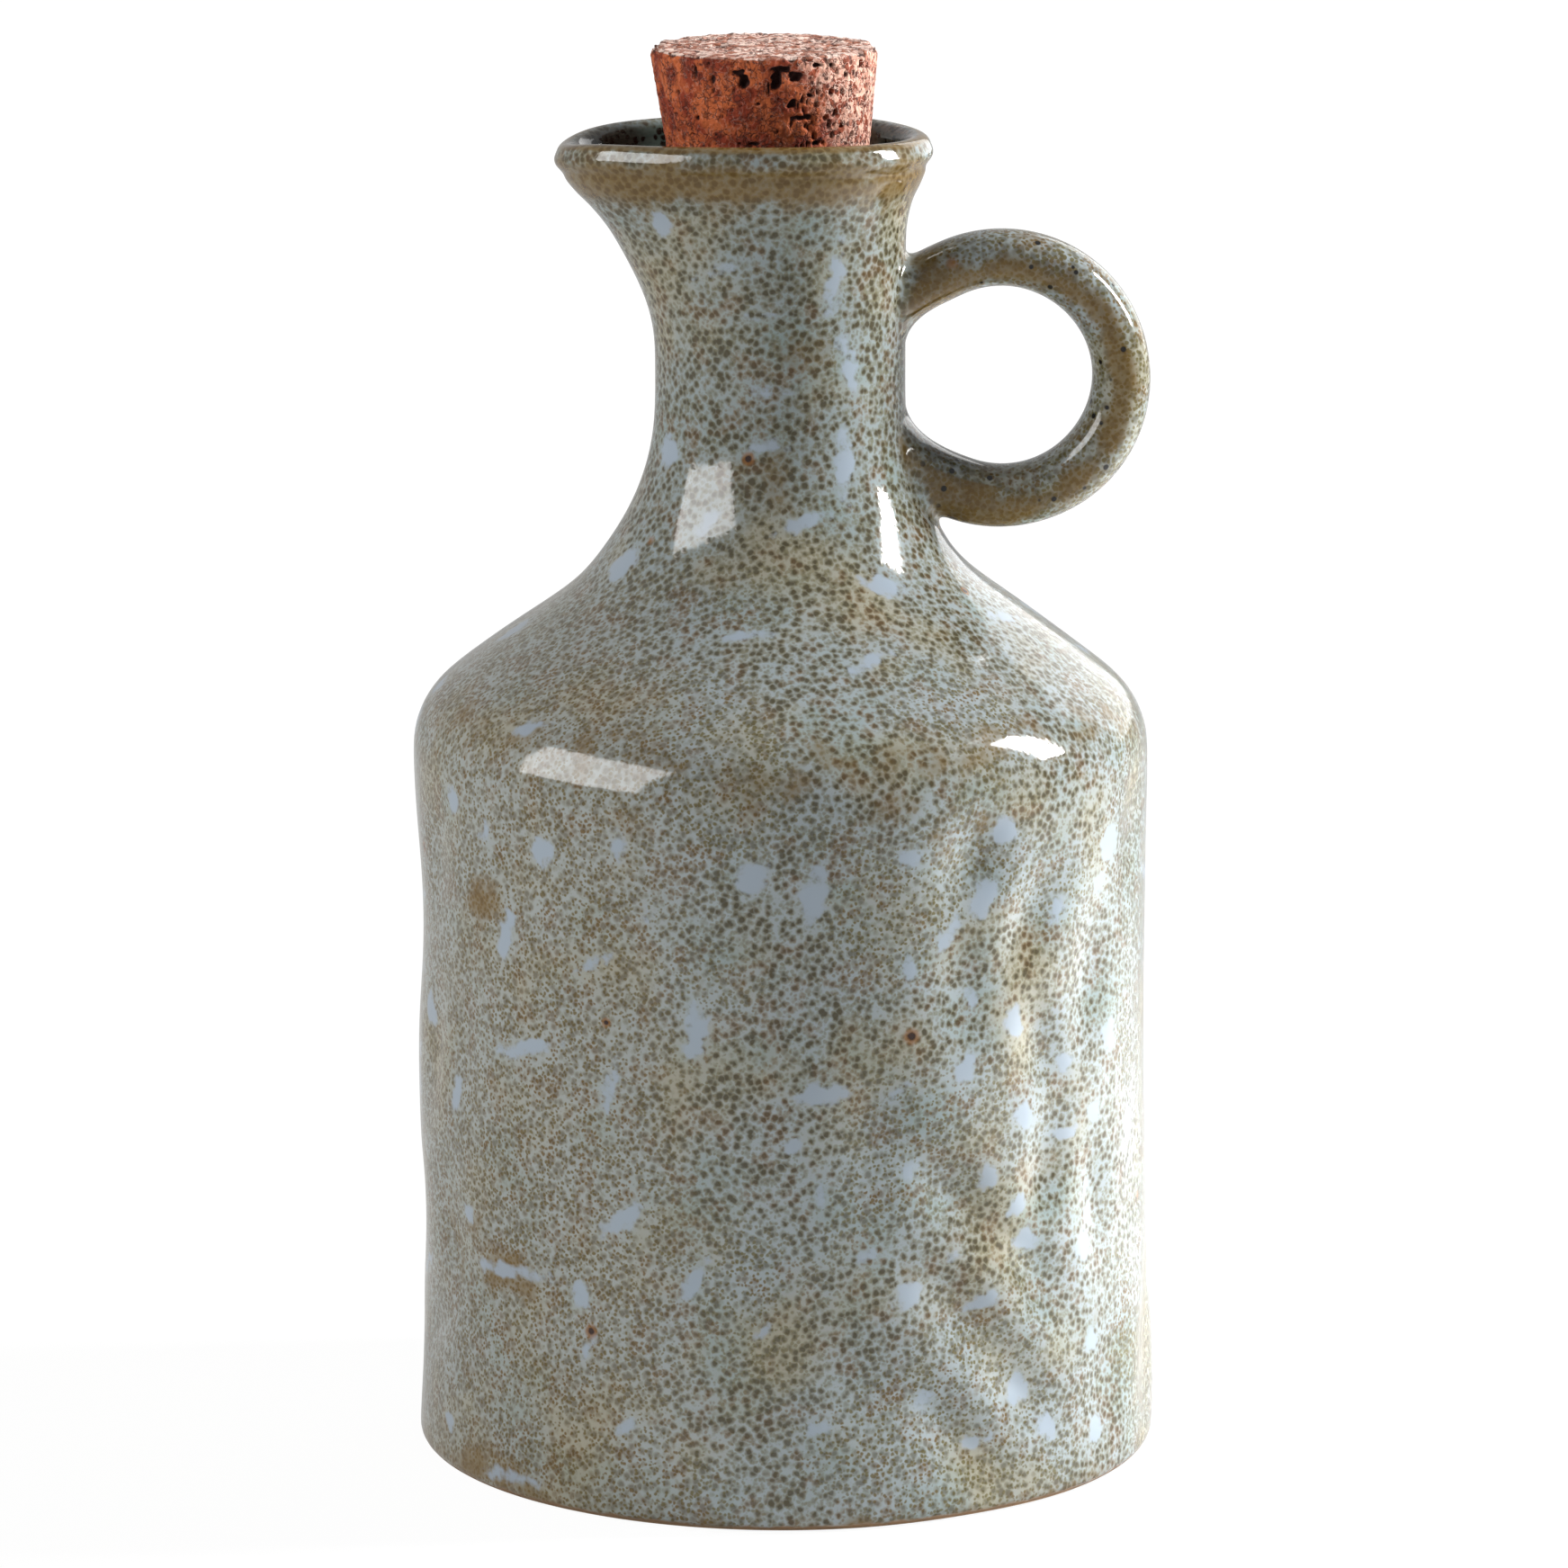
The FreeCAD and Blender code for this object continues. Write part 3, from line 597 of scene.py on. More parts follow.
# Inside the mouth the glaze pooled, so there is no rust.
inside = smooth((ROW_AT - RIM_CREST - 0.6) / 2.5)[:, None] * np.ones((1, AROUND))
body_fields = {
    "clear": stroke_field(body_grid, strokes),
    "rust": rust_field(body_grid, below_crest(body_grid)) * (1.0 - inside),
    "inside": inside,
    "handle": np.zeros(body_grid.shape[:2]),
}
print({name: (round(float(f.min()), 2), round(float(f.max()), 2)) for name, f in body_fields.items()})

# %% Fields on the handle
# On the strap the glaze broke brown along the edges of its faces, and the band crosses from the ring's inner
# side, at the top, to its outer side, at the bottom. The band keeps to the side turned down and away from the
# lamps, so it is partly brown glaze and partly painted shade. Both roots are darker: partly rust, partly
# painted shade in the creases where the strap meets the neck.
THIN_RUST, BAND_RUST_AND_SHADE, ROOT_RUST_AND_SHADE = 0.12, 0.72, 0.8
from_neck = smooth((above_skin(ring_rows) - 0.2) / 3.0)
round_ring = np.linspace(0.0, 1.0, len(ring_rows))[:, None]
outward = np.sin(np.arange(RING_AROUND) * 2.0 * math.pi / RING_AROUND)[None]
brown_band_and_shade = hump(outward + 0.45 - 0.9 * round_ring, 0.0, 0.42)
roots = hump(round_ring, 0.08, 0.05) + hump(round_ring, 0.90, 0.06) * (outward > -0.4)
ring_rust_and_shade = THIN_RUST + BAND_RUST_AND_SHADE * brown_band_and_shade + ROOT_RUST_AND_SHADE * roots
handle_fields = {
    "clear": np.full(ring_rows.shape[:2], NO_STROKE),
    # On the handle this rust share also holds the band's and the roots' painted shade.
    "rust": np.clip(rust_field(ring_rows) * (1 - from_neck) + ring_rust_and_shade * from_neck, 0, 1),
    "inside": np.zeros(ring_rows.shape[:2]),
    "handle": from_neck,
}

# %% Body and handle become pieces
body = make_piece("bottle_body", body_grid, body_fields)
handle = make_piece("bottle_handle", ring_rows, handle_fields, closed=False)
for piece in (body, handle):
    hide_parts("bottle")
    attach(piece, "root")

# %% [markdown]
# ## The cork
# A natural cork is punched from bark as a tapered plug. Its skin is cut clean, so what shows is the bark's own
# pores, the torn edges round the top and a few cracks. The plug is a grid of rows from its underside, up its
# side and over its top. Hundreds of pits with steep sides are then pressed into it along its normals.

# %% The cork's plain form
CORK_AROUND, CORK_EDGE, CORK_SLACK = 440, 0.9, 0.15
CORK_TOP = RIM_HEIGHT + CORK_PROUD


def bend(a, b, c, t):
    """A parabola from a to c that heads for b first: (1-t)^2 a + 2t(1-t) b + t^2 c."""
    return (1 - t) ** 2 * a + 2 * t * (1 - t) * b + t**2 * c


def cork_grid():
    """Rows of the leaning cone cut level at the top. A line up its side meets the level cut at height h, where
    z = seat + sin(lean) r cos(angle) + cos(lean) h, and both its edges are rounded by parabolas."""
    sin, cos, edge = math.sin(LEAN), math.cos(LEAN), CORK_EDGE
    small, middle = BORE_RADIUS - CORK_SLACK, CORK_SEAT / 2.0
    turn = np.arange(CORK_AROUND) * 2.0 * math.pi / CORK_AROUND
    rise = CORK_TOP - SEAT_BOTTOM - middle + middle * cos
    tall = (rise - sin * np.cos(turn) * small) / (cos + sin * np.cos(turn) * TAPER)
    wide = small + tall * TAPER
    top = lambda radius: (rise - sin * np.cos(turn) * radius) / cos
    rows = [(np.full(CORK_AROUND, r), np.zeros(CORK_AROUND)) for r in np.linspace(1.5, small - edge, 7)]
    for t in np.linspace(0.0, 1.0, 5)[1:]:
        rows.append((bend(small - edge, small, small + edge * TAPER, t) + 0 * turn, bend(0, 0, edge, t) + 0 * turn))
    for share in np.concatenate([np.linspace(0.0, 0.5, 24)[1:], np.linspace(0.5, 1.0, 92)[1:]]):
        h = edge + share * (tall - 2 * edge)
        rows.append((small + h * TAPER, h))
    for t in np.linspace(0.0, 1.0, 9)[1:]:
        rows.append((bend(wide - edge * TAPER, wide, wide - edge, t), bend(tall - edge, tall, top(wide - edge), t)))
    for share in np.linspace(0.0, 0.97, 58)[1:]:
        radius = (wide - edge) * (1 - share)
        rows.append((radius, top(radius)))
    r, h = (np.array([row[k] for row in rows]) for k in (0, 1))
    x, y, z = r * np.cos(turn), r * np.sin(turn), h - middle
    return np.stack([CORK_SHIFT + x * cos - z * sin, y, SEAT_BOTTOM + middle + x * sin + z * cos], axis=-1)


def grid_normals(grid):
    """Unit cross product of the step round a row and the step to the next row."""
    normal = np.cross(np.roll(grid, -1, axis=1) - np.roll(grid, 1, axis=1), np.gradient(grid, axis=0))
    return normal / np.maximum(np.linalg.norm(normal, axis=-1), 1e-9)[..., None]


cork_rows = cork_grid()
cork_normals = grid_normals(cork_rows)
print("cork rows:", cork_rows.shape, "top", round(float(cork_rows[..., 2].max()), 2))


# %% Pits, cracks and worn edges
def ripple(points, scale, count=36):
    """Even sum of sine waves in random directions, about -1 to 1, with wavelengths near the scale in mm."""
    ways = rng.normal(size=(count, 3))
    ways *= (2.0 * math.pi / scale * rng.uniform(0.6, 1.5, count) / np.linalg.norm(ways, axis=1))[:, None]
    waves = np.sin(points @ ways.T + rng.uniform(0.0, 2.0 * math.pi, count))
    return waves.sum(axis=-1) / math.sqrt(2.0 * count)


def press(points, pits, ragged):
    """Largest depth of the pits at each point. A pit is a box with round corners, the cube root of the summed
    cubes of distance / half size, and its depth is d x smooth(1.6 (1 - distance)), flat at the bottom with
    steep sides. The ragged field is added to the distance, so its edge is torn."""
    depth = np.zeros(points.shape[:2])
    for x, y, z, a, b, c, deep in pits:
        away = [np.abs(points[..., k] - middle) / half for k, middle, half in ((0, x, a), (1, y, b), (2, z, c))]
        gap = np.cbrt(away[0] ** 3 + away[1] ** 3 + away[2] ** 3) + ragged
        depth = np.maximum(depth, deep * smooth(1.6 * (1.0 - gap)))
    return depth


def on_cork(angle, height):
    """A point on the cork's side at this angle and height."""
    column = int(round(angle / 360.0 * CORK_AROUND)) % CORK_AROUND
    row = int(np.argmin(np.abs(cork_rows[:150, column, 2] - height)))
    return cork_rows[row, column]


def side_pit(angles, sizes, squat, deep):
    """A random pit on the side: its place, half sizes across and upright, depth."""
    place = on_cork(rng.uniform(*angles), rng.uniform(CORK_TOP - 16.0, CORK_TOP - 0.4))
    size = rng.uniform(*sizes)
    return (*place, size, size, size * rng.uniform(*squat), rng.uniform(*deep))


def top_pit(sizes, deep):
    """A random pit on the top, evenly spread over the disc."""
    r, turn = 14.6 * 0.97 * math.sqrt(rng.uniform()), rng.uniform(0.0, 2.0 * math.pi)
    size = rng.uniform(*sizes)
    x, y = r * math.cos(turn) - 2.2, r * math.sin(turn)
    return (x, y, CORK_TOP, size * rng.uniform(1.0, 2.2), size, 0.8, rng.uniform(*deep))


def edge_chip(angles, sizes, deep):
    """A random chip out of the top edge."""
    angle, size = rng.uniform(*angles), rng.uniform(*sizes)
    return (*on_cork(angle, CORK_TOP - 0.3), size * 1.3, size * 1.3, size * 0.8, rng.uniform(*deep))


# What is drawn, how many, and the limits of angles, half sizes, squatness and depths that it takes.
PIT_GROUPS = (
    (side_pit, 90, (-78.0, 10.0), (0.18, 0.34), (1.5, 3.2), (0.25, 0.55)),
    (side_pit, 80, (10.0, 200.0), (0.2, 0.5), (1.0, 2.6), (0.25, 0.7)),
    (side_pit, 46, (-170.0, -78.0), (0.22, 0.42), (0.7, 2.0), (0.2, 0.5)),
    (top_pit, 110, (0.3, 0.75), (0.25, 0.6)),
    (edge_chip, 26, (-180.0, 180.0), (0.5, 1.0), (0.25, 0.5)),
    (edge_chip, 10, (160.0, 196.0), (0.8, 1.5), (0.4, 0.75)),
    (edge_chip, 8, (-20.0, 16.0), (0.8, 1.4), (0.4, 0.7)),
    (top_pit, 9, (1.6, 3.0), (0.15, 0.3)),
)
# Notches placed round the front: angle, millimetres below the top, half width, half height, depth.
NOTCHES = [
    (-101, 3.3, 0.8, 1.15, 1.5), (-104, 2.2, 1.2, 0.45, 0.8), (-84, 3.0, 0.95, 1.6, 1.6), (-82, 1.6, 1.6, 0.5, 1.1),
    (-74, 2.6, 1.1, 0.75, 1.0), (-76, 6.3, 0.9, 0.7, 1.0), (-70, 8.2, 1.7, 0.45, 0.9), (-62, 11.6, 0.6, 0.55, 0.7),
    (-62, 1.2, 0.8, 0.4, 0.8), (-54, 1.3, 0.5, 0.35, 0.6), (-118, 3.2, 0.5, 0.9, 0.5), (-88, 4.0, 0.16, 3.2, 0.6),
    (-66, 5.2, 0.5, 0.3, 0.6), (-94, 6.2, 0.35, 0.3, 0.5), (-97, 11.6, 0.9, 0.35, 0.6), (-128, 2.2, 0.3, 1.3, 0.5),
]
pits = [(*on_cork(angle, CORK_TOP - down), wide, wide, tall, deep) for angle, down, wide, tall, deep in NOTCHES]
pits += [draw(*limits) for draw, count, *limits in PIT_GROUPS for _ in range(count)]
pit_depth = press(cork_rows, pits, 0.22 * ripple(cork_rows, 1.1))
print(len(pits), "pits, the deepest", round(float(pit_depth.max()), 2), "mm")

# %% The worn cork becomes a piece
grain = ripple(cork_rows, 2.4)
fine_grain = ripple(cork_rows, 0.9)
sunk = pit_depth + 0.10 * np.clip(grain + 1.2, 0, None) * 0.6 + 0.05 * np.clip(fine_grain + 1.0, 0, None)
side_angle = polar(cork_rows)[0]
# The torn side starts where the angle, swayed by the grain and the height, passes the clean side's edge.
# It is also the lit side, and its paler colour is partly painted light.
torn_and_lit_side = smooth((side_angle + 80.0 + 3.0 * grain - 2.5 * (CORK_TOP - cork_rows[..., 2] - 6.0)) / 26.0)
# The torn side's and the top's pale tones are partly painted light: paler where the lamps fall, dark bark on the shaded
# left.
cork_fields = {
    "pore": np.clip(pit_depth / 0.7, 0.0, 1.0),
    "torn_and_lit": np.where(side_angle < 95.0, torn_and_lit_side, 1.0) * (cork_normals[..., 2] < 0.7),
    "top": smooth((cork_normals[..., 2] - 0.35) / 0.4),
}
cork = make_piece("cork_stopper", cork_rows - cork_normals * sunk[..., None], cork_fields)
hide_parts("stopper")
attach(cork, "root")

# %% [markdown]
# ## Colours and nodes
# Colours are written as sRGB hex values, as a paint chart gives them, and turned to linear once. One helper adds
# any node with its settings and links. Most of a material is arithmetic on shares between 0 and 1, so it is kept
# as rows of words, and a loop turns each row into a node. A material then reads as a list of what lies on what.

# %% Helpers for materials
PER_MM = (1000.0, 1000.0, 1000.0)


def linear(code):
    """sRGB hex to linear: c / 12.92 below 0.04045, else ((c + 0.055) / 1.055)^2.4."""
    c = np.array([int(code[k : k + 2], 16) for k in (1, 3, 5)]) / 255.0
    return (*np.where(c <= 0.04045, c / 12.92, ((c + 0.055) / 1.055) ** 2.4).tolist(), 1.0)


def add(tree, kind, links=None, out=0, **settings):
    """Adds a node and gives one of its outputs, or the node itself when out is None. Settings are its
    properties, links are its sockets: a value, a colour or another node's output. A socket is named, or
    numbered where names repeat."""
    node = tree.nodes.new("ShaderNode" + kind)
    for name, value in settings.items():
        setattr(node, name, value)
    for socket, value in (links or {}).items():
        if isinstance(value, bpy.types.NodeSocket):
            tree.links.new(value, node.inputs[socket])
        else:
            node.inputs[socket].default_value = value
    return node if out is None else node.outputs[out]


def recipe(tree, value, rows):
    """Turns each row of (name, word, terms) into nodes, and keeps the result in value under its name. A term is
    a number or the name of an earlier value. STEP and RAMP go from 0 at the second term to 1 at the third,
    smoothly or straight. MIX blends two colours by a share, and COAT lays a colour over what its name held, by a
    share x a cover. LESS is a difference kept between 0 and 1. Any other word is an operation of a Math node."""
    for name, word, *terms in rows:
        terms = [value.get(term, term) for term in terms]
        if word == "COAT":
            thick = add(tree, "Math", dict(enumerate(terms[:2])), operation="MULTIPLY")
            terms = (thick, value[name], terms[2])
        if word in ("STEP", "RAMP"):
            ends = dict(zip(("Value", "From Min", "From Max"), terms))
            value[name] = add(tree, "MapRange", ends, interpolation_type="SMOOTHSTEP" if word == "STEP" else "LINEAR")
        elif word in ("MIX", "COAT"):
            value[name] = add(tree, "Mix", dict(zip((0, 6, 7), terms)), out=2, data_type="RGBA")
        else:
            operation = "SUBTRACT" if word == "LESS" else word
            value[name] = add(tree, "Math", dict(enumerate(terms)), operation=operation, use_clamp=word == "LESS")


def new_material(name, colours, fields=(), noises=()):
    """A material without nodes, its tree, and its first values: each colour, mm for the place in millimetres,
    the fields kept on the mesh, and a noise for each row of (name, size in mm, detail, shift)."""
    material = bpy.data.materials.new(name)
    material.use_nodes = True
    tree = material.node_tree
    tree.nodes.clear()
    value = {colour: linear(code) for colour, code in colours.items()}
    value["mm"] = add(tree, "Mapping", {"Vector": add(tree, "TexCoord", out="Object"), "Scale": PER_MM})
    for field in fields:
        value[field] = add(tree, "Attribute", out="Fac", attribute_name=field)
    for noise, size, detail, shift in noises:
        at = add(tree, "VectorMath", {0: value["mm"], 1: (shift, 2.0 * shift, -shift)}, operation="ADD")
        value[noise] = add(tree, "TexNoise", {"Vector": at, "Scale": 1.0 / size, "Detail": detail}, out="Fac")
    return material, tree, value


def shade(tree, value, roughness, ior, strength, depth):
    """The end of a material: a bump from its rise, a shader with its colour, and the output."""
    bump = add(tree, "Bump", {"Height": value["rise"], "Strength": strength, "Distance": depth * MM})
    surface = {"Base Color": value["colour"], "Roughness": roughness, "IOR": ior, "Normal": bump}
    add(tree, "OutputMaterial", {"Surface": add(tree, "BsdfPrincipled", surface)}, out=None)


# %% [markdown]
# ## Glazed stoneware
# Iron in the clay boils through a pale zinc glaze and each bubble leaves a soft olive dot. The dots sit about a
# millimetre apart, so a 3-D Voronoi pattern with cells of about a millimetre gives them: wherever the surface
# passes near a cell's point, there is a round dot. Two sizes are mixed in drifts a couple of centimetres wide,
# and where the glaze is thin, on the handle and the left side, the small brown ones rule.

# %% Colours and noises of the glaze
GLAZE = {
    "pale grey": "#8B9497", "warm grey": "#908B78", "blue grey": "#8D99A6", "sea grey": "#6F8480",
    "shade grey": "#66706C", "moss": "#5C5430", "dark olive": "#38301A", "dark brown": "#5E481E",
    "umber": "#443012", "rust brown": "#68501E", "tan": "#6C5A34", "iron brown": "#2A160C",
    "halo brown": "#7A4C18", "near black": "#120F0C", "pool green": "#46534D", "fired clay": "#7E6042",
}
# Name, size of its features in mm, detail, and a shift that keeps the noises apart.
GLAZE_NOISES = (
    ("swell", 5.0, 3.0, 11.0), ("zone", 24.0, 1.0, 31.0), ("ragged", 1.9, 3.0, 5.0), ("stain", 5.0, 3.0, 17.0),
    ("cloud", 15.0, 3.0, 23.0), ("teal", 11.0, 2.0, 47.0), ("brown", 4.0, 2.0, 3.0), ("grit", 0.8, 2.0, 9.0),
    ("foot", 3.0, 2.0, 2.0), ("wave", 2.8, 1.0, 61.0),
)
# Iron spots: place in mm, radius in mm.
IRON_SPOTS = (
    (17.1, -46.0, 66.1, 0.62), (-24.9, -42.1, 25.3, 0.55), (21.8, -44.0, 26.6, 0.42), (-4.2, -16.7, 137.2, 0.5),
    (24.5, -11.8, 118.6, 0.4), (-22.7, -43.4, 67.3, 0.38),
)
# Cells of the patterns in mm: the dots of both sizes, the scattered spots, the handle's pinholes.
WIDE_CELL, FINE_CELL, LOOSE_CELL, PIN_CELL = 1.06, 0.62, 24.0, 3.0
LOOSE_RADIUS, DOT_TURN, DOT_NUDGE = 0.5, (0.62, 0.41, 0.93), (0.5, 0.5, 0.5)
# Coats, each laid over the ones before: where it lies, how much it covers, its colour.
GLAZE_COATS = (
    ("thin", 0.30, "shade grey"), ("cloud", 0.85, "warm grey"), ("teal", 0.38, "sea grey"),
    ("left", 0.28, "warm grey"), ("stain", 0.75, "tan"), ("ring", 0.50, "ring_tone"), ("fine", 1.0, "fine_tone"),
    ("core", 0.85, "core_tone"), ("stain", 0.32, "rust brown"), ("stroke", 0.85, "blue grey"),
    ("inside", 1.0, "mouth_tone"), ("halo", 0.75, "halo brown"), ("iron", 1.0, "iron brown"),
    ("pin", 1.0, "near black"), ("foot", 1.0, "fired clay"),
)


# %% The glaze's nodes
def dot_gaps(tree, value):
    """Distance to the nearest dot's middle, in cells, for both sizes. Space is turned, so that the skin never
    runs along the cells, and nudged by noise, so that no dot is a perfect circle. The dots swell where rust
    gathers and up the neck, and shrink beside a clear stroke."""
    recipe(tree, value, (
        ("beside", "STEP", "clear", -1.8, 0.0), ("swell", "MULTIPLY_ADD", "swell", 0.34, -0.17),
        ("swell", "MULTIPLY_ADD", "rust", 0.06, "swell"), ("swell", "MULTIPLY_ADD", "beside", -0.06, "swell"),
        ("swell", "MULTIPLY_ADD", "up_neck", 0.03, "swell"),
    ))
    turned = add(tree, "Mapping", {"Vector": value["mm"], "Rotation": DOT_TURN})
    nudge = add(tree, "TexNoise", {"Vector": turned, "Scale": 1.3, "Detail": 1.0}, out="Color")
    nudged = add(tree, "VectorMath", {0: nudge, 1: DOT_NUDGE, 2: turned}, operation="MULTIPLY_ADD")
    for name, cell in (("wide", WIDE_CELL), ("fine", FINE_CELL)):
        cells = {"Vector": nudged, "Scale": 1.0 / cell, "Randomness": 0.8}
        value[name] = add(tree, "TexVoronoi", cells, out="Distance")
        recipe(tree, value, [(name, "SUBTRACT", name, "swell")])


def spot_gap(tree, value):
    """Distance to the nearest iron spot in its own radii: the placed ones, and a loose scatter of small ones."""
    value["spot"] = add(tree, "TexVoronoi", {"Vector": value["mm"], "Scale": 1.0 / LOOSE_CELL}, out="Distance")
    recipe(tree, value, [("spot", "MULTIPLY", "spot", LOOSE_CELL / LOOSE_RADIUS)])
    for x, y, z, radius in IRON_SPOTS:
        value["far"] = add(tree, "VectorMath", {0: value["mm"], 1: (x, y, z)}, out="Value", operation="DISTANCE")
        recipe(tree, value, [("far", "DIVIDE", "far", radius), ("spot", "MINIMUM", "spot", "far")])
    recipe(tree, value, [("spot", "MULTIPLY_ADD", "grit", 0.6, "spot")])


def glazed_stoneware():
    """Zinc glaze on stoneware: a clear glassy coat over colour, IOR 1.5, nearly mirror smooth."""
    fields = ("clear", "rust", "inside", "handle")
    material, tree, value = new_material("glazed_stoneware", GLAZE, fields, GLAZE_NOISES)
    value.update(add(tree, "SeparateXYZ", {0: value["mm"]}, out=None).outputs.items())
    recipe(tree, value, (
        ("up_neck", "RAMP", "Z", 108.0, 128.0), ("left", "STEP", "X", -4.0, -24.0), ("left", "LESS", "left", "up_neck"),
    ))
    dot_gaps(tree, value)
    spot_gap(tree, value)
    value["pin"] = add(tree, "TexVoronoi", {"Vector": value["mm"], "Scale": 1.0 / PIN_CELL}, out="Distance")
    recipe(tree, value, (
        # Noise makes the fields' edges ragged.
        ("stroke", "MULTIPLY_ADD", "ragged", 3.2, -1.6), ("stroke", "ADD", "stroke", "clear"),
        ("stain", "MULTIPLY_ADD", "rust", 0.62, "stain"), ("foot", "ADD", "Z", "foot"),
        # Distances and noises become shares.
        ("core", "STEP", "wide", 0.50, 0.20), ("ring", "STEP", "wide", 0.70, 0.42),
        ("fine", "STEP", "fine", 0.55, 0.23), ("stroke", "STEP", "stroke", -0.2, 0.7),
        ("zone", "STEP", "zone", 0.40, 0.60), ("cloud", "STEP", "cloud", 0.45, 0.72),
        ("teal", "STEP", "teal", 0.5, 0.75), ("stain", "STEP", "stain", 0.62, 1.05),
        ("brown", "STEP", "brown", 0.48, 0.68), ("halo", "STEP", "spot", 2.7, 1.3), ("iron", "STEP", "spot", 1.5, 0.9),
        ("pin", "STEP", "pin", 0.165, 0.11), ("foot", "STEP", "foot", 1.7, 1.1),
        # The small dots rule in their zone, on the handle and on the left. No dot shows in a clear stroke.
        ("zone", "LESS", "zone", "up_neck"), ("zone", "MAXIMUM", "zone", "handle"), ("zone", "MAXIMUM", "zone", "left"),
        ("kept", "SUBTRACT", 1.0, "stroke"),
    ))
    for name, base, grow in (("core", 1.0, -0.45), ("ring", 1.0, -0.25), ("fine", 0.48, 0.42)):
        recipe(tree, value, (
            ("amount", "MULTIPLY_ADD", "zone", grow, base), ("amount", "MULTIPLY", "amount", "kept"),
            (name, "MULTIPLY", name, "amount"),
        ))
    value["colour"] = value["pale grey"]
    recipe(tree, value, (
        # Dots are moss on the pale ground and brown where it is stained. The mouth is dark, with black dots.
        ("brown", "MAXIMUM", "stain", "brown"), ("brown", "MULTIPLY_ADD", "left", 0.38, "brown"),
        ("ring_tone", "MIX", "brown", "moss", "rust brown"), ("fine_tone", "MIX", "brown", "moss", "dark brown"),
        ("core_tone", "MIX", "brown", "dark olive", "umber"), ("mouth_tone", "MIX", "core", "pool green", "near black"),
        ("pin", "MULTIPLY", "pin", "handle"), ("thin", "LESS", "up_neck", "handle"),
        *(("colour", "COAT", *coat) for coat in GLAZE_COATS),
        ("rise", "MULTIPLY_ADD", "core", 0.15, "wave"),
    ))
    rough = add(tree, "MapRange", {"Value": value["foot"], "To Min": 0.09, "To Max": 0.7})
    shade(tree, value, rough, 1.5, 0.35, 0.09)
    return material


# %% Bare stoneware under the foot
CLAY = {"buff": "#9A7A56", "sand": "#B5997A", "dark grog": "#5C4632"}


def bare_stoneware():
    """Unglazed stoneware: fired clay, matt, buff with fine grog. Grog grains are about 0.5 mm."""
    noises = (("rise", 0.6, 3.0, 0.0), ("broad", 14.0, 3.0, 0.0))
    material, tree, value = new_material("bare_stoneware", CLAY, (), noises)
    recipe(tree, value, (
        ("colour", "MIX", "broad", "buff", "sand"), ("speck", "RAMP", "rise", 0.62, 0.72),
        ("colour", "MIX", "speck", "colour", "dark grog"),
    ))
    shade(tree, value, 0.82, 1.5, 0.5, 0.1)
    return material


glaze = glazed_stoneware()
for piece, materials in ((body, (glaze, bare_stoneware())), (handle, (glaze,))):
    for material in materials:
        piece.data.materials.append(material)
# The bare faces are the quads of the lowest rows and the first fan, which closes the foot.
low_rows = int(np.sum(body_grid[:, :, 2].mean(axis=1)[: len(body_grid) // 2] < 0.5))
bare = np.zeros(len(body.data.polygons), np.int32)
bare[: (low_rows - 1) * AROUND] = 1
bare[-2 * AROUND : -AROUND] = 1
body.data.polygons.foreach_set("material_index", bare)
print("bare faces:", int(bare.sum()))


# %% [markdown]
# ## Natural cork
# Cork is bark: a warm red-brown ground of waxy cells. The punch left its left side smooth and streaked. On the
# right and on top it tore into crumbs about a millimetre wide, each a shade of its own, with dark seams and
# pores between them. The right side and the top are also painted paler than the left: painted light where the
# lamps fall, while the shaded left keeps the dark bark. The deep pits are in the mesh, so the colour only has
# to follow them.

# %% Colours, noises and coats of the cork
# The torn and top tones are paler than the bark: partly the crumbs' own colour, partly painted light on the lit right
# side and top.
CORK = {
    "bark": "#7A2A10", "light bark": "#B0582E", "streak brown": "#4A170A", "torn_and_lit dark": "#7E3822",
    "torn_and_lit light": "#D2A591", "lit top dark": "#9C614B", "lit top light": "#E4C9BC", "seam brown": "#4A1B0E",
    "fleck brown": "#3E150A", "vein pink": "#D8B5A5", "pore brown": "#2A0D07",
}
CORK_NOISES = (
    ("grain", 2.6, 3.0, 0.0), ("seamed", 1.7, 3.0, 0.0), ("flecked", 2.4, 3.0, 0.0), ("vein", 1.3, 2.0, 0.0),
    ("fine", 0.5, 3.0, 0.0), ("broad", 1.4, 3.0, 0.0),
)
CORK_COATS = (
    ("grain", 1.0, "light bark"), ("streak", 0.55, "streak brown"), ("torn_and_lit", 0.9, "torn_and_lit_tone"),
    ("top", 1.0, "lit_top_tone"), ("seam", 0.75, "seam brown"), ("fleck", 0.85, "fleck brown"),
    ("veined", 1.0, "vein pink"), ("pore", 1.0, "pore brown"),
)
CRUMB_CELL, FLECK_CELL, CRUMB_NUDGE, STREAK_STRETCH = 0.9, 0.95, (1.6, 1.6, 1.6), (1.0, 1.0, 0.2)


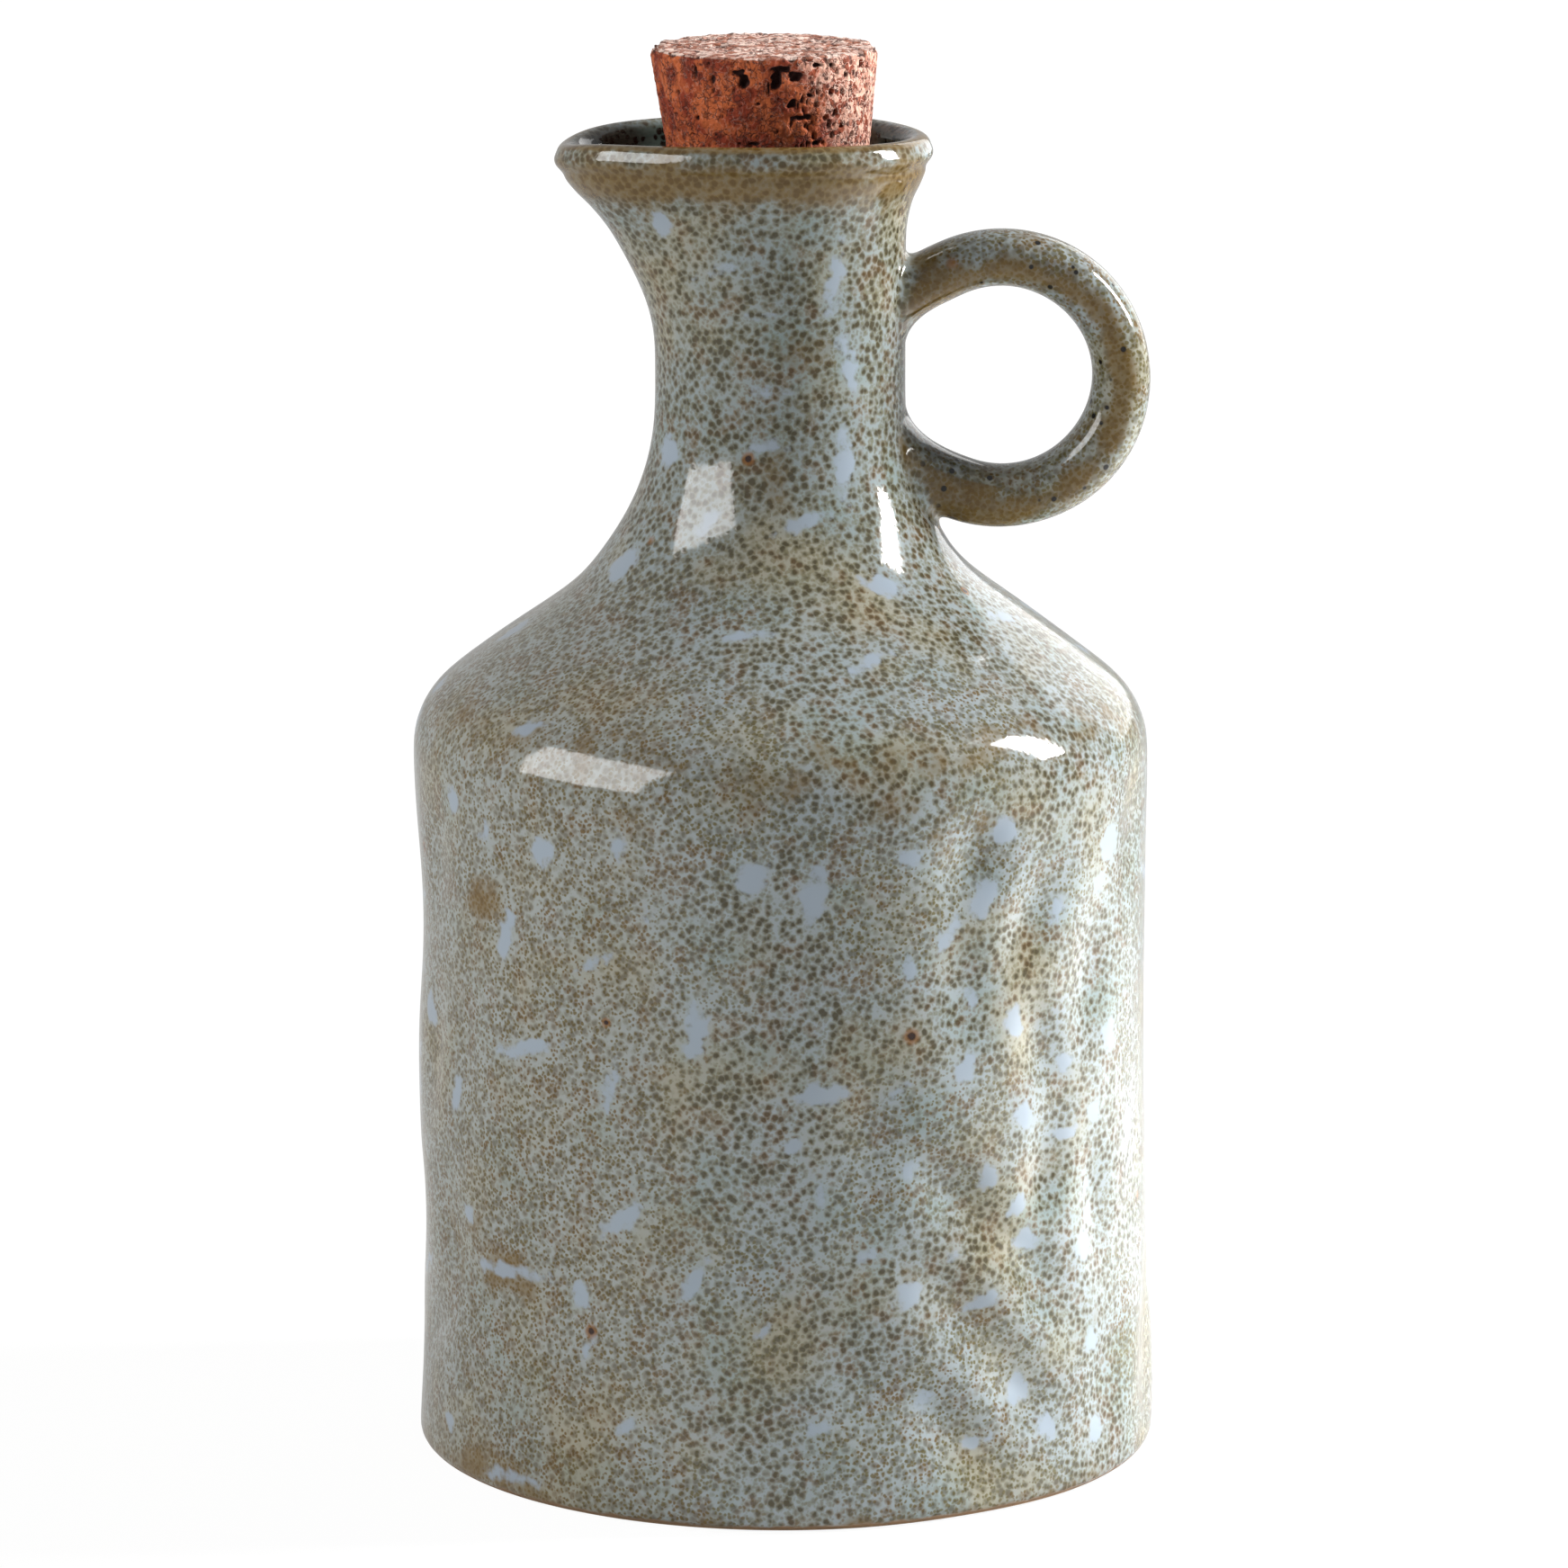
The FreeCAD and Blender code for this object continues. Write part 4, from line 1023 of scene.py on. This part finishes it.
# %% The cork's nodes
def natural_cork():
    """Natural cork, cut: matt, IOR about 1.4, grain 0.4 to 3 mm."""
    material, tree, value = new_material("natural_cork", CORK, ("pore", "torn_and_lit", "top"), CORK_NOISES)
    tall = add(tree, "Mapping", {"Vector": value["mm"], "Scale": STREAK_STRETCH})
    value["streak"] = add(tree, "TexNoise", {"Vector": tall, "Scale": 1.0, "Detail": 2.0}, out="Fac")
    nudge = add(tree, "TexNoise", {"Vector": value["mm"], "Scale": 0.9, "Detail": 3.0}, out="Color")
    nudged = add(tree, "VectorMath", {0: nudge, 1: CRUMB_NUDGE, 2: value["mm"]}, operation="MULTIPLY_ADD")
    cells = {"Vector": nudged, "Scale": 1.0 / CRUMB_CELL}
    value["crumb"] = add(tree, "SeparateColor", {0: add(tree, "TexVoronoi", cells, out="Color")})
    value["seam"] = add(tree, "TexVoronoi", cells, out="Distance", feature="DISTANCE_TO_EDGE")
    value["fleck"] = add(tree, "TexVoronoi", {"Vector": value["mm"], "Scale": 1.0 / FLECK_CELL}, out="Distance")
    value["colour"] = value["bark"]
    recipe(tree, value, (
        ("busy", "MAXIMUM", "torn_and_lit", "top"), ("fleck", "MULTIPLY_ADD", "busy", -0.16, "fleck"),
        ("vein", "SUBTRACT", "vein", 0.5), ("vein", "ABSOLUTE", "vein"),
        # Distances and noises become shares.
        ("grain", "STEP", "grain", 0.38, 0.62), ("streak", "STEP", "streak", 0.52, 0.68),
        ("crumb", "STEP", "crumb", 0.15, 0.85), ("seam", "STEP", "seam", 0.10, 0.02),
        ("seamed", "STEP", "seamed", 0.42, 0.54), ("fleck", "STEP", "fleck", 0.28, 0.14),
        ("flecked", "STEP", "flecked", 0.40, 0.52), ("vein", "STEP", "vein", 0.025, 0.008),
        ("pore", "STEP", "pore", 0.2, 0.7),
        # Seams, flecks and veins show only here and there, and veins mostly where the cork is torn.
        ("seam", "MULTIPLY", "seam", "seamed"), ("fleck", "MULTIPLY", "fleck", "flecked"),
        ("veined", "MULTIPLY_ADD", "torn_and_lit", 0.6, 0.12), ("veined", "MULTIPLY", "vein", "veined"),
        # Crumb tones of the torn side and the top, partly painted light: paler where the lamps fall.
        ("torn_and_lit_tone", "MIX", "crumb", "torn_and_lit dark", "torn_and_lit light"), ("lit_top_tone", "MIX", "crumb", "lit top dark", "lit top light"),
        *(("colour", "COAT", *coat) for coat in CORK_COATS),
        ("rise", "MULTIPLY_ADD", "broad", 1.5, "fine"), ("rise", "MULTIPLY_ADD", "seam", -0.6, "rise"),
    ))
    shade(tree, value, 0.85, 1.4, 0.8, 0.25)
    return material


cork.data.materials.append(natural_cork())

# %% [markdown]
# ## Floor, light and camera
# The bottle stands on a flat pale floor. A narrow bright soft box on the right draws the hard white highlights, a
# wide weaker one on the left gives the grey reflection that lets the dots show through, and a dim one behind
# draws the far edge. A low lamp brightens the floor on the right.

# %% Floor
FLOOR, PAINT, WHITE = 6.0, "#DCDCDA", (1.0, 1.0, 1.0, 1.0)
RAYS = {"camera": "Is Camera Ray", "glossy": "Is Glossy Ray", "through": "Is Transmission Ray"}


def pale_floor():
    """A flat matt white floor. To the camera and in reflections it is mostly its own white, and keeps a shadow."""
    material, tree, value = new_material("pale_floor", {"paint": PAINT})
    path = add(tree, "LightPath", out=None).outputs
    value.update({name: path[socket] for name, socket in RAYS.items()})
    away = add(tree, "VectorMath", {0: value["mm"]}, out="Value", operation="LENGTH")
    fade = {"Value": away, "From Min": 120.0, "From Max": 500.0, "To Min": 0.90, "To Max": 1.0}
    value["own"] = add(tree, "MapRange", fade)
    recipe(tree, value, (
        ("glow", "MULTIPLY_ADD", "camera", 0.45, 0.6), ("mirrored", "MAXIMUM", "glossy", "through"),
        ("mirrored", "MULTIPLY", "mirrored", 0.75), ("own", "MULTIPLY", "camera", "own"),
        ("own", "MAXIMUM", "mirrored", "own"),
    ))
    paint = add(tree, "BsdfDiffuse", {"Color": value["paint"]})
    white = add(tree, "Emission", {"Color": WHITE, "Strength": value["glow"]})
    both = add(tree, "MixShader", {0: value["own"], 1: paint, 2: white})
    add(tree, "OutputMaterial", {"Surface": both}, out=None)
    return material


corners = [(-FLOOR, -FLOOR, 0), (FLOOR, -FLOOR, 0), (FLOOR, FLOOR, 0), (-FLOOR, FLOOR, 0)]
floor_mesh = bpy.data.meshes.new("floor")
floor_mesh.from_pydata(corners, [], [(0, 1, 2, 3)])
floor = bpy.data.objects.new("floor", floor_mesh)
bpy.context.scene.collection.objects.link(floor)
floor_mesh.materials.append(pale_floor())


# %% Lamps
# Azimuth (0 at the camera, growing to the right), elevation, distance in m, width, height, radiance.
SOFT_BOXES = {
    "soft_box_right": (96.0, 31.0, 0.62, 0.12, 0.28, 76.0),
    "soft_box_left": (-66.0, 27.0, 1.0, 0.80, 0.55, 7.0),
    "soft_box_back": (148.0, 18.0, 1.0, 0.60, 0.60, 1.6),
}
AIM = (0.0, 0.0, 0.1)


def lamp(name, place, turn, width, height, radiance, spread=180.0):
    """Rectangular lamp, facing down before it is turned. Its power is pi x area x radiance."""
    light = bpy.data.lights.new(name, "AREA")
    light.shape, light.size, light.size_y, light.spread = "RECTANGLE", width, height, math.radians(spread)
    light.energy = math.pi * width * height * radiance
    box = bpy.data.objects.new(name, light)
    box.location, box.rotation_euler = place, turn
    bpy.context.scene.collection.objects.link(box)


for name, (azimuth, elevation, distance, *size_and_radiance) in SOFT_BOXES.items():
    a, e = math.radians(azimuth), math.radians(elevation)
    away = (math.cos(e) * math.sin(a), -math.cos(e) * math.cos(a), math.sin(e))
    place = [start + distance * part for start, part in zip(AIM, away)]
    lamp(name, place, (math.pi / 2 - e, 0.0, a), *size_and_radiance)

# A low lamp that faces down lights the floor on the right, out of the camera's view. The bright floor lights
# the wall's right side from below and is mirrored in it as a soft veil.
lamp("floor_lamp", (0.24, 0.04, 0.24), (0.0, 0.0, 0.0), 0.22, 0.26, 13.5, 80.0)
print("lamps:", [light.name for light in bpy.data.lights])

# %% World
AMBIENT, MIRRORED = 0.05, 0.5
world = bpy.data.worlds.new("studio")
bpy.context.scene.world = world
world.use_nodes = True
tree = world.node_tree
tree.nodes.clear()
path = add(tree, "LightPath", out=None).outputs
value = {name: path[socket] for name, socket in RAYS.items()}
recipe(tree, value, (
    ("seen", "MAXIMUM", "camera", "through"), ("mirrored", "MULTIPLY", "glossy", MIRRORED),
    ("seen", "MAXIMUM", "seen", "mirrored"),
))
level = add(tree, "MapRange", {"Value": value["seen"], "To Min": AMBIENT, "To Max": 1.0})
add(tree, "OutputWorld", {"Surface": add(tree, "Background", {"Color": WHITE, "Strength": level})}, out=None)

# %% Camera
SENSOR, FOCAL, LOOK_DOWN = 36.0, 182.9, 0.2063
lens = bpy.data.cameras.new("camera")
lens.sensor_width, lens.lens = SENSOR, FOCAL
camera = bpy.data.objects.new("camera", lens)
camera.location = (0.0005, -1.0518, 0.3101)
camera.rotation_euler = (math.pi / 2 - LOOK_DOWN, 0.0, 0.0)
bpy.context.scene.collection.objects.link(camera)
bpy.context.scene.camera = camera
bpy.context.scene.view_settings.view_transform = "Standard"
